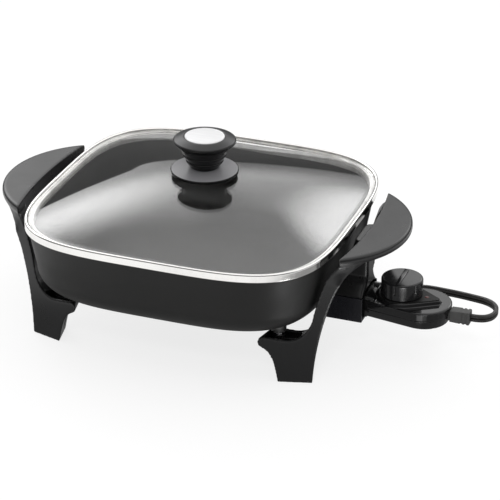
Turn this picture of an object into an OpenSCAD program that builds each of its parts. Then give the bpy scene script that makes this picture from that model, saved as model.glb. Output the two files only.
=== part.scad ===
// Square electric skillet with a glass lid, two moulded handle-and-leg frames
// and a plug-in heat control on a short cord. Millimetres, +Z up, feet at z = 0,
// heat control towards +X. Heights below are measured from the feet.

/* [Pan] */
// Width of the pan over its rim, left to right
pan_w = 288.4; // [286:0.2:289]
// Depth of the pan over its rim, front to back
pan_d = 283.2; // [280:0.2:284]
// Height of the pan's underside
pan_under_h = 53; // [52:0.5:54]
// Height of the pan's rim
pan_rim_h = 116; // [114:0.5:116]
// Thickness of the cast wall
pan_wall = 3; // [2.6:0.1:3.2]
// Thickness of the cast floor
pan_floor = 4.5; // [4:0.1:6]
// Squareness of the outline, 2 is an ellipse
corner_power = 3.9; // [3.4:0.1:4.4]

/* [Lid] */
// Width of the lid's steel rim
lid_w = 294; // [293:0.5:296]
// Depth of the lid's steel rim
lid_d = 288.8; // [288:0.4:291]
// Height of the rim's top edge
lid_top_h = 124.2; // [123:0.2:125]
// Rise of the glass dome above its edge
dome_rise = 25.7; // [20:0.1:27]
// Thickness of the glass
glass_t = 4; // [3.6:0.1:4]

/* [Knob] */
// Radius of the knob's collar
collar_r = 31.5; // [30:0.5:34]
// Radius of the knob's grip
grip_r = 29; // [26:0.5:31]
// Radius of the round badge
badge_r = 18.5; // [16:0.5:20]

/* [Handles and legs] */
// Height of the handles' top face
handle_top_h = 121.2; // [120:0.2:122]
// Thickness of a handle's grip plate
handle_t = 8; // [6:0.5:9]
// Radius of a handle's outer edge
handle_r = 91; // [90:0.5:93]
// Distance of the handle's outer arc centre from the pan centre
handle_cx = 106; // [105:0.5:107]
// Slant of a leg's face towards the middle, over the handle's height
leg_slant = 6.9; // [6:0.1:8]
// Distance of a foot's face from the pan's axis, square to the face
foot_out = 124; // [123:0.5:125]

/* [Heat control] */
// Height of the heating terminals and the probe
terminal_h = 47.5; // [47:0.1:48]
// Distance of each terminal from the middle line
terminal_y = 11; // [10.5:0.1:11]
// Radius of the housing's round end
paddle_r = 26.5; // [25:0.5:28]
// Radius of the temperature dial
dial_r = 19.2; // [17:0.2:20]
// Height of the dial above its plate
dial_h = 16; // [14:0.1:17]

/* [Cord] */
// Width of the two-core flat cord
cord_w = 7.5; // [6.5:0.5:8]
// Radius of the stored coil at the middle of its turns
coil_r = 43; // [38:1:45]

/* [Hidden] */

round_fn = 72;
small_fn = 32;
eps = 0.01;

// Plan sizes shared by the pan and the lid
outline_n = 96;
pan_hx = pan_w / 2;
pan_dy = (pan_w - pan_d) / 2;
lid_hx = lid_w / 2;
lid_dy = (lid_w - lid_d) / 2;
pan_under_hx = 113;
pan_edge_r = 25;
pan_waist_hx = pan_under_hx + pan_edge_r;

// Line of the sheathed element under the pan
element_x = 80;
element_corner_r = 40;
element_bend_r = 12;
element_r = 3.3;
element_end_x = 112;
bush_r = 4.6;

// Lid rim: a rolled steel channel round the glass, with a skirt into the pan
rim_under_h = 116.3;
rim_skirt_h = 111.5;
rim_lip = 2.8;
rim_steel = 0.7;
bead_drop = 0.8; // fall of the rolled edge from its bead to its lip
skirt_in = 6.8;
glass_gap = 0.1;
lip_top_h = lid_top_h - bead_drop;
glass_top_h = lip_top_h - rim_steel - glass_gap;
glass_in = rim_steel + 0.4;
dome_in = skirt_in + rim_steel;
crown_h = glass_top_h + dome_rise;
dome_first = 0.08; // share of the dome's width that is flat under the knob
knob_hole_r = 4;

// Heights of the knob's pieces above the crown of the glass
gasket_t = 0.8;
collar_foot_h = crown_h + gasket_t;
collar_edge_h = crown_h + 1.7;
collar_top_h = crown_h + 6.3;
grip_top_h = crown_h + 36.5;
badge_t = 1.2;
insert_r = 3.5;
insert_h = 13;
knob_screw_r = 2;
knob_washer_t = 1.2;

// Legs and their fixings
handle_under_h = handle_top_h - handle_t;
wall_drop = 12;
wall_t = 3.5;
wall_hy = 59;
leg_turn = 16.2; // turn of a leg's face outwards from the front
leg_flare = 11.3; // turn of a leg's inner side outwards towards the back
leg_back = 99.5;
leg_top_h = 97;
leg_wall = 4.5;
tray_h = 33;
tray_floor_t = 4;
tray_x0 = 110.4;
tray_x1 = 96;
tray_back = 102.8;
post_x = 103;
post_y = 83.5;
post_r = 5.5;
post_top_h = 45.5;
leg_screw_r = 1.9;
screw_gap = 0.4;
washer_t = 0.8;
head_t = 2.4;
inner_arc_r = 439;
inner_arc_x = 161;

// Neck of the right handle and the guard below it
guard_x0 = 128;
guard_x1 = 162;
guard_hy = 23.5;
guard_h0 = 33.5;
guard_h1 = 57.3;
guard_wall = 2.5;
lug_x1 = 142;
arch_r = 42.5;
arch_h = 62.5;
guard_screw_x = 138;
guard_screw_y = 8;

// Heat control
nose_x = 143;
nose_x1 = 165;
nose_hy = 17.8;
paddle_x = 213.3;
paddle_x0 = 150;
paddle_x0_hy = 16.5;
dial_x = 192.6;
lens_x = 216.5;
control_end_x = paddle_x + paddle_r;
case_h0 = 37;
case_split_h = 46;
case_top_h = 54.5;
case_wall = 2.4;
case_in_h0 = 39.4;
case_in_h1 = 52.2;
table_h = 58;
plate_t = 0.8;
table_r = 22;
table_tip_r = 3.5;
table_tip_x = 226;
vault_x1 = dial_x - table_r + 1;
pin_r = 2.4;
pin_end_x = 150;
sleeve_r = 3.4;
sleeve_x1 = 166;
sleeve_gap = 0.08;
probe_r = 3.2;
probe_tip_x = 104;
probe_gap = 0.3;
shaft_r = 3;
bush_gap = 0.05;
shaft_end_h = 46.6;
follower_r = 1.5;
case_screw_x = 226;
case_screw_y = 15;
relief_x0 = 234;
relief_x1 = 258;
relief_h = 45.8;

// Cord route, straight out of the relief, round behind the control, down to
// the table, past the rear leg and on to the coil behind the pan
cord_h = cord_w / 2;
coil_x = -25;
coil_y = 212;
coil_turn_h = cord_w;
cord_route = [[258, 0, 45.8], [264, 0.2, 45.8], [270.5, 3.2, 45.4],
    [275, 10, 44.6], [276.2, 20, 43.4], [274.2, 31, 42], [268.5, 42, 39.8],
    [259, 52, 37], [246, 60, 34], [230, 66.5, 31.6], [212, 72.5, 29],
    [195, 79, 25.5], [178, 87, 18.5], [160, 94.5, 10.5], [140, 103, 5.2],
    [120, 114, 3.75], [98, 131, 3.75], [72, 149, 3.75], [42, 162.5, 3.75],
    [8, 168.6, 3.75], [-25, 169, 3.75]];
tail_route = [[-25, 255, 11.25], [-8, 255.6, 10.8], [8, 256, 9.6],
    [20, 256, 8.6]];
plug_x = 20;
plug_y = 256;
plug_h = 8.6;

// The whole object without its cord is centred on x = 0
centre_x = (control_end_x - (handle_cx + handle_r)) / 2;

// ---------------------------------------------------------------- helpers

module placed() {
    translate([-centre_x, 0, 0]) children();
}

// Cylinder along +X from x0 to x1 at y, z
module rod_x(x0, x1, y, z, r, fn = small_fn) {
    translate([x0, y, z]) rotate([0, 90, 0]) cylinder(h = x1 - x0, r = r, $fn = fn);
}

// Cylinder between two points
module rod(p, q, r, fn = 16) {
    v = q - p;
    length = norm(v);
    translate(p)
        rotate([0, acos(v[2] / length), atan2(v[1], v[0])])
            cylinder(h = length, r = r, $fn = fn);
}

module box(x0, x1, y0, y1, z0, z1) {
    translate([x0, y0, z0]) cube([x1 - x0, y1 - y0, z1 - z0]);
}

// Both signs of y
module both_y() {
    children();
    mirror([0, 1, 0]) children();
}

// Four corners
module four() {
    both_y() {
        children();
        mirror([1, 0, 0]) children();
    }
}

// Rounded square outline of half sizes hx, hy and squareness n, at height z
function squircle(hx, hy, z, n) = [for (i = [0 : outline_n - 1])
    let (a = 360 * i / outline_n, c = abs(cos(a)), s = abs(sin(a)),
        k = 1 / pow(pow(c / hx, n) + pow(s / hy, n), 1 / n))
    [k * cos(a), k * sin(a), z]];

function pan_ring(hx, z) = squircle(hx, hx - pan_dy, z, corner_power);
function lid_ring(inset, z) = squircle(lid_hx - inset, lid_hx - lid_dy - inset, z,
    corner_power);

// Skin over rings of equal point counts; a closed one joins last to first
module loft(rings, closed = false) {
    n = len(rings[0]);
    m = len(rings);
    points = [for (ring = rings) each ring];
    spans = closed ? m : m - 1;
    sides = [for (j = [0 : spans - 1], i = [0 : n - 1])
        let (a = j * n + i, b = j * n + (i + 1) % n,
            k = (j + 1) % m, c = k * n + i, d = k * n + (i + 1) % n)
        each [[a, c, b], [b, c, d]]];
    caps = closed ? [] : [[for (i = [0 : n - 1]) i],
        [for (i = [n - 1 : -1 : 0]) (m - 1) * n + i]];
    polyhedron(points, concat(sides, caps));
}

// Points of a cubic curve from a to d, without the last
function curve(a, b, c, d, n) = [for (i = [0 : n - 1]) let (t = i / n, u = 1 - t)
    u * u * u * a + 3 * u * u * t * b + 3 * u * t * t * c + t * t * t * d];

// Rounded rectangle from x0 to x1 and half width hy, at height z
function rounded_ring(x0, x1, hy, r, z) = [for (k = [0 : 3], i = [0 : 4])
    let (a = 90 * k + 22.5 * i,
        cx = (k == 0 || k == 3) ? x1 - r : x0 + r,
        cy = k < 2 ? hy - r : r - hy)
    [cx + r * cos(a), cy + r * sin(a), z]];

// Smooth line through the points of a route, n steps a span
function smooth(p, n) = [for (i = [0 : len(p) - 2], k = [0 : n - 1])
    let (a = p[max(i - 1, 0)], b = p[i], c = p[i + 1],
        d = p[min(i + 2, len(p) - 1)], t = k / n)
    b + t * (c - a) / 2 + t * t * (a - 2.5 * b + 2 * c - 0.5 * d)
        + t * t * t * (1.5 * b - 0.5 * a - 1.5 * c + 0.5 * d),
    p[len(p) - 1]];

// Ring of a tube round point i of a line, square to the line
function tube_ring(p, i, r, n) = let (a = p[max(i - 1, 0)],
        b = p[min(i + 1, len(p) - 1)], t = (b - a) / norm(b - a),
        s = cross([0, 0, 1], t) / norm(cross([0, 0, 1], t)), u = cross(t, s))
    [for (k = [0 : n - 1]) p[i] + r * (s * cos(360 * k / n) + u * sin(360 * k / n))];

module tube(route, r, steps, sides = 10) {
    line = smooth(route, steps);
    loft([for (i = [0 : len(line) - 1]) tube_ring(line, i, r, sides)]);
}

// ---------------------------------------------------------------- pan

// Sheathed element: one half, the other is its mirror image
module element_half(section_r) {
    straight_y = terminal_y + element_bend_r;
    side_y = element_x - element_corner_r;
    rod_x(element_x + element_bend_r, element_end_x, terminal_y, 0, section_r);
    translate([element_x + element_bend_r, straight_y, 0]) rotate([0, 0, 180])
        rotate_extrude(angle = 90, $fn = round_fn)
            translate([element_bend_r, 0]) circle(section_r, $fn = small_fn);
    rod([element_x, straight_y, 0], [element_x, side_y, 0], section_r, small_fn);
    translate([side_y, side_y, 0])
        rotate_extrude(angle = 90, $fn = round_fn)
            translate([element_corner_r, 0]) circle(section_r, $fn = small_fn);
    rod_x(-side_y, side_y, element_x, 0, section_r);
    translate([-side_y, side_y, 0]) rotate([0, 0, 90])
        rotate_extrude(angle = 90, $fn = round_fn)
            translate([element_corner_r, 0]) circle(section_r, $fn = small_fn);
    rod([-element_x, side_y, 0], [-element_x, 0, 0], section_r, small_fn);
}

// Square-sided cast ridge that carries the element under the pan
module ridge_half(hw, h) {
    side_y = element_x - element_corner_r;
    box(element_x - hw, element_x + hw, terminal_y - hw, side_y, 0, h);
    translate([side_y, side_y, 0])
        rotate_extrude(angle = 90, $fn = round_fn)
            translate([element_corner_r - hw, 0]) square([2 * hw, h]);
    box(-side_y, side_y, element_x - hw, element_x + hw, 0, h);
    translate([-side_y, side_y, 0]) rotate([0, 0, 90])
        rotate_extrude(angle = 90, $fn = round_fn)
            translate([element_corner_r - hw, 0]) square([2 * hw, h]);
    box(-element_x - hw, -element_x + hw, 0, side_y, 0, h);
}

module pan_shell() {
    steps = 6;
    inner_r = pan_edge_r - pan_wall - 0.5;
    floor_h = pan_under_h + pan_floor;
    inner_hx = pan_waist_hx - pan_wall - inner_r;
    outer = [for (i = [0 : steps]) let (a = 90 * i / steps)
        pan_ring(pan_under_hx + pan_edge_r * sin(a),
            pan_under_h + pan_edge_r * (1 - cos(a)))];
    inner = [for (i = [steps : -1 : 0]) let (a = 90 * i / steps)
        pan_ring(inner_hx + inner_r * sin(a), floor_h + inner_r * (1 - cos(a)))];
    lip = [pan_ring(pan_hx, pan_rim_h - 0.8), pan_ring(pan_hx - 0.7, pan_rim_h),
        pan_ring(pan_hx - pan_wall + 0.5, pan_rim_h),
        pan_ring(pan_hx - pan_wall, pan_rim_h - 0.6)];
    loft(concat(outer, lip, inner));
}

module pan() placed() color("#37363a") {
    ridge_hw = 6.5;
    boss_x0 = 96;
    boss_x1 = 122;
    boss_hy = 17.5;
    boss_h = 42.5;
    post_boss_r = 7;
    join = 1;
    post_join = 3;
    difference() {
        union() {
            pan_shell();
            translate([0, 0, terminal_h]) both_y()
                ridge_half(ridge_hw, pan_under_h + join - terminal_h);
            box(boss_x0, boss_x1, -boss_hy, boss_hy, boss_h, pan_under_h + join);
            four() translate([post_x, post_y, post_top_h])
                cylinder(h = pan_under_h + post_join - post_top_h, r = post_boss_r,
                    $fn = small_fn);
        }
        translate([0, 0, terminal_h]) both_y() element_half(element_r);
        both_y() rod_x(element_end_x - eps, boss_x1 + 1, terminal_y, terminal_h, bush_r);
        rod_x(probe_tip_x - 1.5, boss_x1 + 1, 0, terminal_h, probe_r + probe_gap);
        four() translate([post_x, post_y, post_top_h - 1])
            cylinder(h = 7.5, r = leg_screw_r, $fn = small_fn);
    }
}

module heating_element() placed() color("#6b6a66")
    translate([0, 0, terminal_h]) both_y() element_half(element_r);

module terminal_pins() placed() color("#c9c6bd") both_y() {
    rod_x(element_end_x, pin_end_x - 1, terminal_y, terminal_h, pin_r);
    translate([pin_end_x - 1, terminal_y, terminal_h]) rotate([0, 90, 0])
        cylinder(h = 1, r1 = pin_r, r2 = pin_r - 0.7, $fn = small_fn);
}

module terminal_bushes() placed() color("#e8e2d4") both_y()
    difference() {
        rod_x(element_end_x, 125, terminal_y, terminal_h, bush_r);
        rod_x(element_end_x - 1, 126, terminal_y, terminal_h, pin_r);
    }

// ---------------------------------------------------------------- handles

// Edge of a leg and its arm towards the pan, as distance outwards and height,
// seen along the leg's inner side: foot, notch, nose, shelf, arm
function leg_inner() = concat(
    [[260, 0]],
    curve([124.1, 0], [121.8, 12], [120, 22], [115.2, 29], 8),
    [[115.2, 29], [112.6, 31.6], [110.2, 33.2], [108, 34.8], [106.7, 37.2],
        [106.4, 39.8], [107, 42.2], [108.6, 43.8]],
    curve([111, 44.2], [121, 43.2], [130, 38.6], [138, 43.6], 8),
    curve([138, 43.6], [143.2, 47], [147, 53], [148.8, 61], 7),
    curve([148.8, 61], [150.4, 72], [152.6, 84], [156.6, 96], 6),
    [[156.6, 96], [157.2, 98], [260, 98]]);

// Outer edge of a leg and its arm, seen square to the leg's face
function leg_outer() = concat(
    [[20, 0]],
    curve([107.2, 0], [108.2, 22], [112, 46], [119.2, 70], 10),
    curve([119.2, 70], [121.8, 79], [125.2, 88], [129.6, 96], 6),
    [[129.6, 96], [130.8, 98], [20, 98]]);

// Outline drawn in x and z, carried along y
module side(outline, inset) {
    rotate([90, 0, 0]) translate([0, 0, -200]) linear_extrude(height = 400)
        offset(delta = -inset) polygon(outline);
}

// Block of a leg between its side edges and behind its face
module leg_block(inset, back) {
    slope = leg_slant / handle_top_h;
    front = foot_out - inset;
    intersection() {
        rotate([0, 0, -leg_flare]) side(leg_inner(), inset);
        rotate([0, 0, leg_turn]) side(leg_outer(), inset);
        rotate([0, 0, leg_turn]) translate([200, 0, 0]) rotate([90, 0, -90])
            linear_extrude(height = 200)
                polygon([[front + slope, -1], [back, -1], [back, leg_top_h],
                    [front - slope * leg_top_h, leg_top_h]]);
    }
}

// One leg at the +X, -Y corner, its foot hollow towards the middle of the object
module leg() {
    face = foot_out - leg_slant * tray_h / handle_top_h;
    difference() {
        leg_block(0, leg_back);
        intersection() {
            leg_block(leg_wall, leg_back - 20);
            box(60, 200, -150, -20, -1, tray_h - tray_floor_t - 4.5);
        }
        intersection() {
            rotate([0, 0, leg_turn]) box(30, tray_x1, 3.4 - face, -tray_back, tray_h, 75);
            rotate([0, 0, -leg_flare]) box(tray_x0, 200, -200, 200, tray_h, 75);
        }
        translate([post_x, -post_y, 0]) {
            translate([0, 0, -1])
                cylinder(h = tray_h + 2, r = leg_screw_r + screw_gap, $fn = small_fn);
            translate([0, 0, -1])
                cylinder(h = tray_h - tray_floor_t + 1, r = post_r, $fn = small_fn);
        }
    }
}

// The arm's top, flaring out under the end of the grip plate
module leg_crown() {
    levels = [
        [96, [[143.3, -81.8], [148.2, -80.45], [153, -79.05], [157.5, -77.7],
            [152.2, -59.4], [150, -60], [147.6, -60.7]]],
        [102, [[145.1, -80.9], [150.5, -79], [155.7, -76.6], [160.4, -73.2],
            [156, -58.5], [153, -59.2], [149.2, -60.8]]],
        [108, [[149, -79], [154.2, -75.8], [159.5, -72.2], [166.3, -66.5],
            [162, -57], [157, -57.3], [152.2, -59]]],
        [handle_under_h + 0.5, [[154.6, -75.3], [160, -71.8], [167, -65.8],
            [174.5, -58], [170, -50], [164, -50.5], [158.3, -53]]]];
    loft([for (level = levels) [for (p = level[1]) [p[0], p[1], level[0]]]]);
}

// Wall that hangs from the grip plate's inner edge, facing the pan
module grip_wall() {
    x = inner_arc_x - inner_arc_r;
    h = handle_under_h - wall_drop;
    intersection() {
        translate([x, 0, h]) difference() {
            cylinder(h = wall_drop + 1, r = inner_arc_r + wall_t, $fn = 360);
            translate([0, 0, -1]) cylinder(h = wall_drop + 3, r = inner_arc_r, $fn = 360);
        }
        box(100, 200, -wall_hy, wall_hy, 0, handle_top_h);
    }
}

// Grip plate: a crescent between two arcs, its outer edge rounded
module grip_plate() {
    edge_r = 2.6;
    steps = 4;
    outline = concat([[0, handle_under_h]],
        [for (i = [0 : steps]) let (a = 90 * i / steps)
            [handle_r - edge_r + edge_r * sin(a),
                handle_under_h + edge_r * (1 - cos(a))]],
        [for (i = [steps : -1 : 0]) let (a = 90 * i / steps)
            [handle_r - edge_r + edge_r * sin(a), handle_top_h - edge_r * (1 - cos(a))]],
        [[0, handle_top_h]]);
    difference() {
        translate([handle_cx, 0, 0]) rotate_extrude($fn = 144) polygon(outline);
        translate([inner_arc_x - inner_arc_r, 0, handle_under_h - 1])
            cylinder(h = handle_t + 2, r = inner_arc_r, $fn = 360);
    }
}

module handle_leg() {
    grip_plate();
    grip_wall();
    both_y() {
        leg();
        leg_crown();
    }
}

module handle_leg_left() placed() color("#2a2a2b") mirror([1, 0, 0]) handle_leg();

// Column from the right handle down to the guard, spreading at both ends, with
// an arched channel for the nose of the heat control
module neck() {
    difference() {
        loft([
            rounded_ring(130.6, guard_x1, guard_hy, 2, guard_h1),
            rounded_ring(134.8, 162.2, 18.5, 3, 62),
            rounded_ring(138, 162.6, 13, 3, 68),
            rounded_ring(140.4, 162.6, 10, 3, 74),
            rounded_ring(143.8, 162.6, 10, 3, 90),
            rounded_ring(147, 165.5, 11.5, 3, 101),
            rounded_ring(149.5, 171, 14.5, 4, 108.5),
            rounded_ring(151.5, 178, 20, 6, handle_under_h + 1)]);
        translate([lug_x1, 0, arch_h - arch_r]) rotate([0, 90, 0])
            cylinder(h = 30, r = arch_r, $fn = 144);
        both_y() translate([guard_screw_x, guard_screw_y, guard_h1 - 1])
            cylinder(h = 6, r = 1.5, $fn = small_fn);
    }
}

module handle_leg_right() placed() color("#2a2a2b") {
    handle_leg();
    neck();
}

module leg_posts() placed() color("#c8c9cb") four()
    translate([post_x, post_y, tray_h]) difference() {
        cylinder(h = post_top_h - tray_h, r = post_r, $fn = small_fn);
        translate([0, 0, -1]) cylinder(h = post_top_h, r = leg_screw_r + screw_gap,
            $fn = small_fn);
    }

module leg_washers() placed() color("#b9bbbe") four()
    translate([post_x, post_y, tray_h - tray_floor_t - washer_t]) difference() {
        cylinder(h = washer_t, r = 4.8, $fn = small_fn);
        translate([0, 0, -1]) cylinder(h = 3, r = leg_screw_r + screw_gap, $fn = small_fn);
    }

module leg_screws() placed() color("#9a9c9f") four()
    translate([post_x, post_y, tray_h - tray_floor_t - washer_t]) {
        cylinder(h = 22, r = leg_screw_r, $fn = small_fn);
        difference() {
            translate([0, 0, -head_t]) cylinder(h = head_t, r1 = 3, r2 = 4, $fn = small_fn);
            for (a = [0, 90]) rotate([0, 0, a])
                box(-2.4, 2.4, -0.5, 0.5, -head_t - 1, 1.4 - head_t);
        }
    }

module plug_guard() placed() color("#1f1f24") {
    inner_y = guard_hy - guard_wall;
    difference() {
        box(guard_x0, guard_x1, -guard_hy, guard_hy, guard_h0, guard_h1);
        box(guard_x0 - 1, guard_x1 + 1, -inner_y, inner_y, guard_h0 + guard_wall,
            guard_h1 - 3);
        box(lug_x1, guard_x1 + 1, -inner_y, inner_y, guard_h1 - 4, guard_h1 + 1);
        box(guard_x0 - 1, guard_x0 + 2.5, -inner_y, inner_y, guard_h1 - 4, guard_h1 + 1);
        both_y() translate([guard_screw_x, guard_screw_y, guard_h1 - 4])
            cylinder(h = 6, r = 1.9, $fn = small_fn);
    }
}

module guard_screws() placed() color("#9a9c9f") both_y()
    translate([guard_screw_x, guard_screw_y, guard_h1 - 3]) {
        cylinder(h = 7.5, r = 1.5, $fn = small_fn);
        translate([0, 0, -1.6]) cylinder(h = 1.6, r1 = 2.2, r2 = 3, $fn = small_fn);
    }

// ---------------------------------------------------------------- lid

// Ring of the dome at share s of the way from its middle to its edge
function dome_ring(s, z) = let (hx = s * (lid_hx - dome_in))
    squircle(hx, hx - s * lid_dy, z, 2 + (corner_power - 2) * pow(s, 1.5));
function dome_h(s) = glass_top_h
    + dome_rise * (1 - s * s) / (1 - dome_first * dome_first);

module lid_glass() placed() color("#cfd6dc", 0.35) {
    steps = 9;
    shares = [for (i = [0 : steps]) dome_first + (1 - dome_first) * i / steps];
    difference() {
        loft(concat(
            [for (s = shares) dome_ring(s, dome_h(s) - glass_t)],
            [lid_ring(glass_in + 0.6, glass_top_h - glass_t),
                lid_ring(glass_in, glass_top_h - glass_t + 0.6),
                lid_ring(glass_in, glass_top_h - 0.6),
                lid_ring(glass_in + 0.6, glass_top_h)],
            [for (i = [steps : -1 : 0]) dome_ring(shares[i], dome_h(shares[i]))]));
        translate([0, 0, crown_h - 2 * glass_t])
            cylinder(h = 3 * glass_t, r = knob_hole_r, $fn = small_fn);
    }
}

module lid_rim() placed() color("#d9dadb") {
    under_glass_h = glass_top_h - glass_t - glass_gap;
    section = [[0, rim_under_h], [skirt_in, rim_under_h], [skirt_in, rim_skirt_h],
        [skirt_in + rim_steel, rim_skirt_h], [skirt_in + rim_steel, under_glass_h],
        [rim_steel + 0.3, under_glass_h], [rim_steel + 0.3, lip_top_h - rim_steel],
        [rim_lip, lip_top_h - rim_steel], [rim_lip, lip_top_h],
        [2.5, lid_top_h - 0.35], [2.1, lid_top_h - 0.1], [1.5, lid_top_h],
        [0.95, lid_top_h - 0.18], [0.5, lid_top_h - 0.5], [0.15, lid_top_h - 1],
        [0, lid_top_h - 1.5]];
    loft([for (i = [len(section) - 1 : -1 : 0]) lid_ring(section[i][0], section[i][1])],
        closed = true);
}

module turned(points, fn = 96) {
    rotate_extrude($fn = fn) polygon(points);
}

module knob_collar() placed() color("#141416") turned([
    [knob_screw_r + 1, collar_foot_h], [13, collar_foot_h], [13.6, collar_foot_h + 3],
    [collar_r - 3, collar_edge_h + 0.2], [collar_r - 1.4, collar_edge_h - 0.2],
    [collar_r - 0.3, collar_edge_h + 0.1], [collar_r, collar_edge_h + 0.6],
    [collar_r, collar_edge_h + 2], [collar_r - 0.8, collar_edge_h + 2.6],
    [15, collar_top_h - 0.1], [13.6, collar_top_h], [knob_screw_r + 1, collar_top_h]]);

module knob_grip() placed() color("#141416") {
    rim_h = grip_top_h - 4.2;
    turned([
        [insert_r, collar_top_h], [12.8, collar_top_h], [13.6, collar_top_h + 0.6],
        [16.9, collar_top_h + 5.2], [17.5, collar_top_h + 6.8], [17.2, collar_top_h + 7.8],
        [19.9, collar_top_h + 11.8], [20.5, collar_top_h + 13.3],
        [20.2, collar_top_h + 14.3], [22.1, collar_top_h + 18.3],
        [22.5, collar_top_h + 19.7], [22.3, collar_top_h + 20.7],
        [24.2, rim_h - 3.4], [grip_r - 2, rim_h - 1.8],
        [grip_r - 0.4, rim_h - 0.9], [grip_r, rim_h], [grip_r - 0.4, rim_h + 0.9],
        [grip_r - 1.4, rim_h + 1.5], [badge_r + 1, grip_top_h], [badge_r + 0.1, grip_top_h],
        [badge_r + 0.1, grip_top_h - badge_t], [0, grip_top_h - badge_t],
        [0, collar_top_h + insert_h], [insert_r, collar_top_h + insert_h]]);
}

module knob_badge() placed() color("#dedfe0") {
    base = grip_top_h - badge_t;
    turned([[0, base], [badge_r, base], [badge_r, base + badge_t - 0.2],
        [badge_r - 0.5, base + badge_t + 0.2], [badge_r * 0.5, base + badge_t + 0.5],
        [0, base + badge_t + 0.6]]);
}

module knob_insert() placed() color("#c9a24a") turned([
    [knob_screw_r, collar_top_h], [insert_r, collar_top_h],
    [insert_r, collar_top_h + insert_h], [0, collar_top_h + insert_h],
    [0, collar_top_h + insert_h - 2], [knob_screw_r, collar_top_h + insert_h - 2]], 48);

module knob_washer() placed() color("#b9bbbe") {
    base = crown_h - glass_t - gasket_t - knob_washer_t;
    turned([[knob_screw_r + 0.3, base], [9, base], [9, base + knob_washer_t],
        [knob_screw_r + 0.3, base + knob_washer_t]], 48);
}

// Silicone washers above and below the glass
module knob_gasket() placed() color("#9b9a96") {
    for (z = [crown_h, crown_h - glass_t - gasket_t])
        turned([[knob_screw_r + 0.4, z], [10, z], [10, z + gasket_t],
            [knob_screw_r + 0.4, z + gasket_t]], 48);
}

module knob_screw() placed() color("#b0b2b5") {
    seat = crown_h - glass_t - gasket_t - knob_washer_t;
    head_r = 4.3;
    difference() {
        turned([[0, seat - 2.8], [head_r - 1.2, seat - 2.8], [head_r, seat - 1.4],
            [head_r, seat], [knob_screw_r, seat],
            [knob_screw_r, collar_top_h + insert_h - 3], [0, collar_top_h + insert_h - 2.2]],
            48);
        for (a = [0, 90]) rotate([0, 0, a])
            box(-2.8, 2.8, -0.6, 0.6, seat - 4, seat - 1.4);
    }
}

// ---------------------------------------------------------------- control

// Plan outline of the housing behind its nose, moved in by inset
function paddle(inset) = concat(
    [for (a = [-99 : 11 : 99])
        [paddle_x + (paddle_r - inset) * cos(a), (paddle_r - inset) * sin(a)]],
    [[paddle_x0 + inset, paddle_x0_hy - inset], [paddle_x0 + inset, inset - paddle_x0_hy]]);

function paddle_ring(inset, z) = [for (p = paddle(inset)) [p[0], p[1], z]];

// Pear-shaped table under the dial, moved in by inset
function pear(inset) = let (b = acos((table_r - table_tip_r) / (table_tip_x - dial_x)))
    concat(
        [for (i = [0 : 20]) let (a = b + (360 - 2 * b) * i / 20)
            [dial_x + (table_r - inset) * cos(a), (table_r - inset) * sin(a)]],
        [for (i = [0 : 6]) let (a = -b + 2 * b * i / 6)
            [table_tip_x + (table_tip_r - inset) * cos(a),
                (table_tip_r - inset) * sin(a)]]);

function pear_ring(inset, z) = [for (p = pear(inset)) [p[0], p[1], z]];

module case_cavity(z0, z1) {
    inner_y = nose_hy - case_wall;
    translate([0, 0, z0]) linear_extrude(height = z1 - z0) polygon(paddle(case_wall));
    box(nose_x + case_wall, nose_x1 - case_wall, -inner_y, inner_y, z0, z1);
}

// Openings in the housing's nose for the terminals and the probe
module nose_holes() {
    both_y() rod_x(nose_x - 1, nose_x + 4, terminal_y, terminal_h, pin_r + 0.5);
    rod_x(nose_x - 1, nose_x + 4, 0, terminal_h, probe_r + 0.1);
}

module relief_hole() {
    box(relief_x0, control_end_x + 2, -5.2, 5.2, relief_h - 4.8, relief_h + 4.8);
}

module control_base() placed() color("#151517") {
    difference() {
        union() {
            difference() {
                union() {
                    loft([paddle_ring(3.6, case_h0), paddle_ring(2.3, case_h0 + 1.2),
                        paddle_ring(1.9, case_h0 + 3), paddle_ring(0.5, case_split_h)]);
                    box(nose_x, nose_x1, -nose_hy, nose_hy, case_h0 + 0.2, case_split_h);
                }
                case_cavity(case_in_h0, case_split_h + 1);
            }
            both_y() translate([case_screw_x, case_screw_y, case_in_h0 - 1])
                cylinder(h = case_split_h - case_in_h0 + 1, r = 3.4, $fn = small_fn);
        }
        both_y() translate([case_screw_x, case_screw_y, case_h0 - 1]) {
            cylinder(h = 12, r = 1.7, $fn = small_fn);
            cylinder(h = 3.4, r = 3.2, $fn = small_fn);
        }
        nose_holes();
        relief_hole();
    }
}

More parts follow.
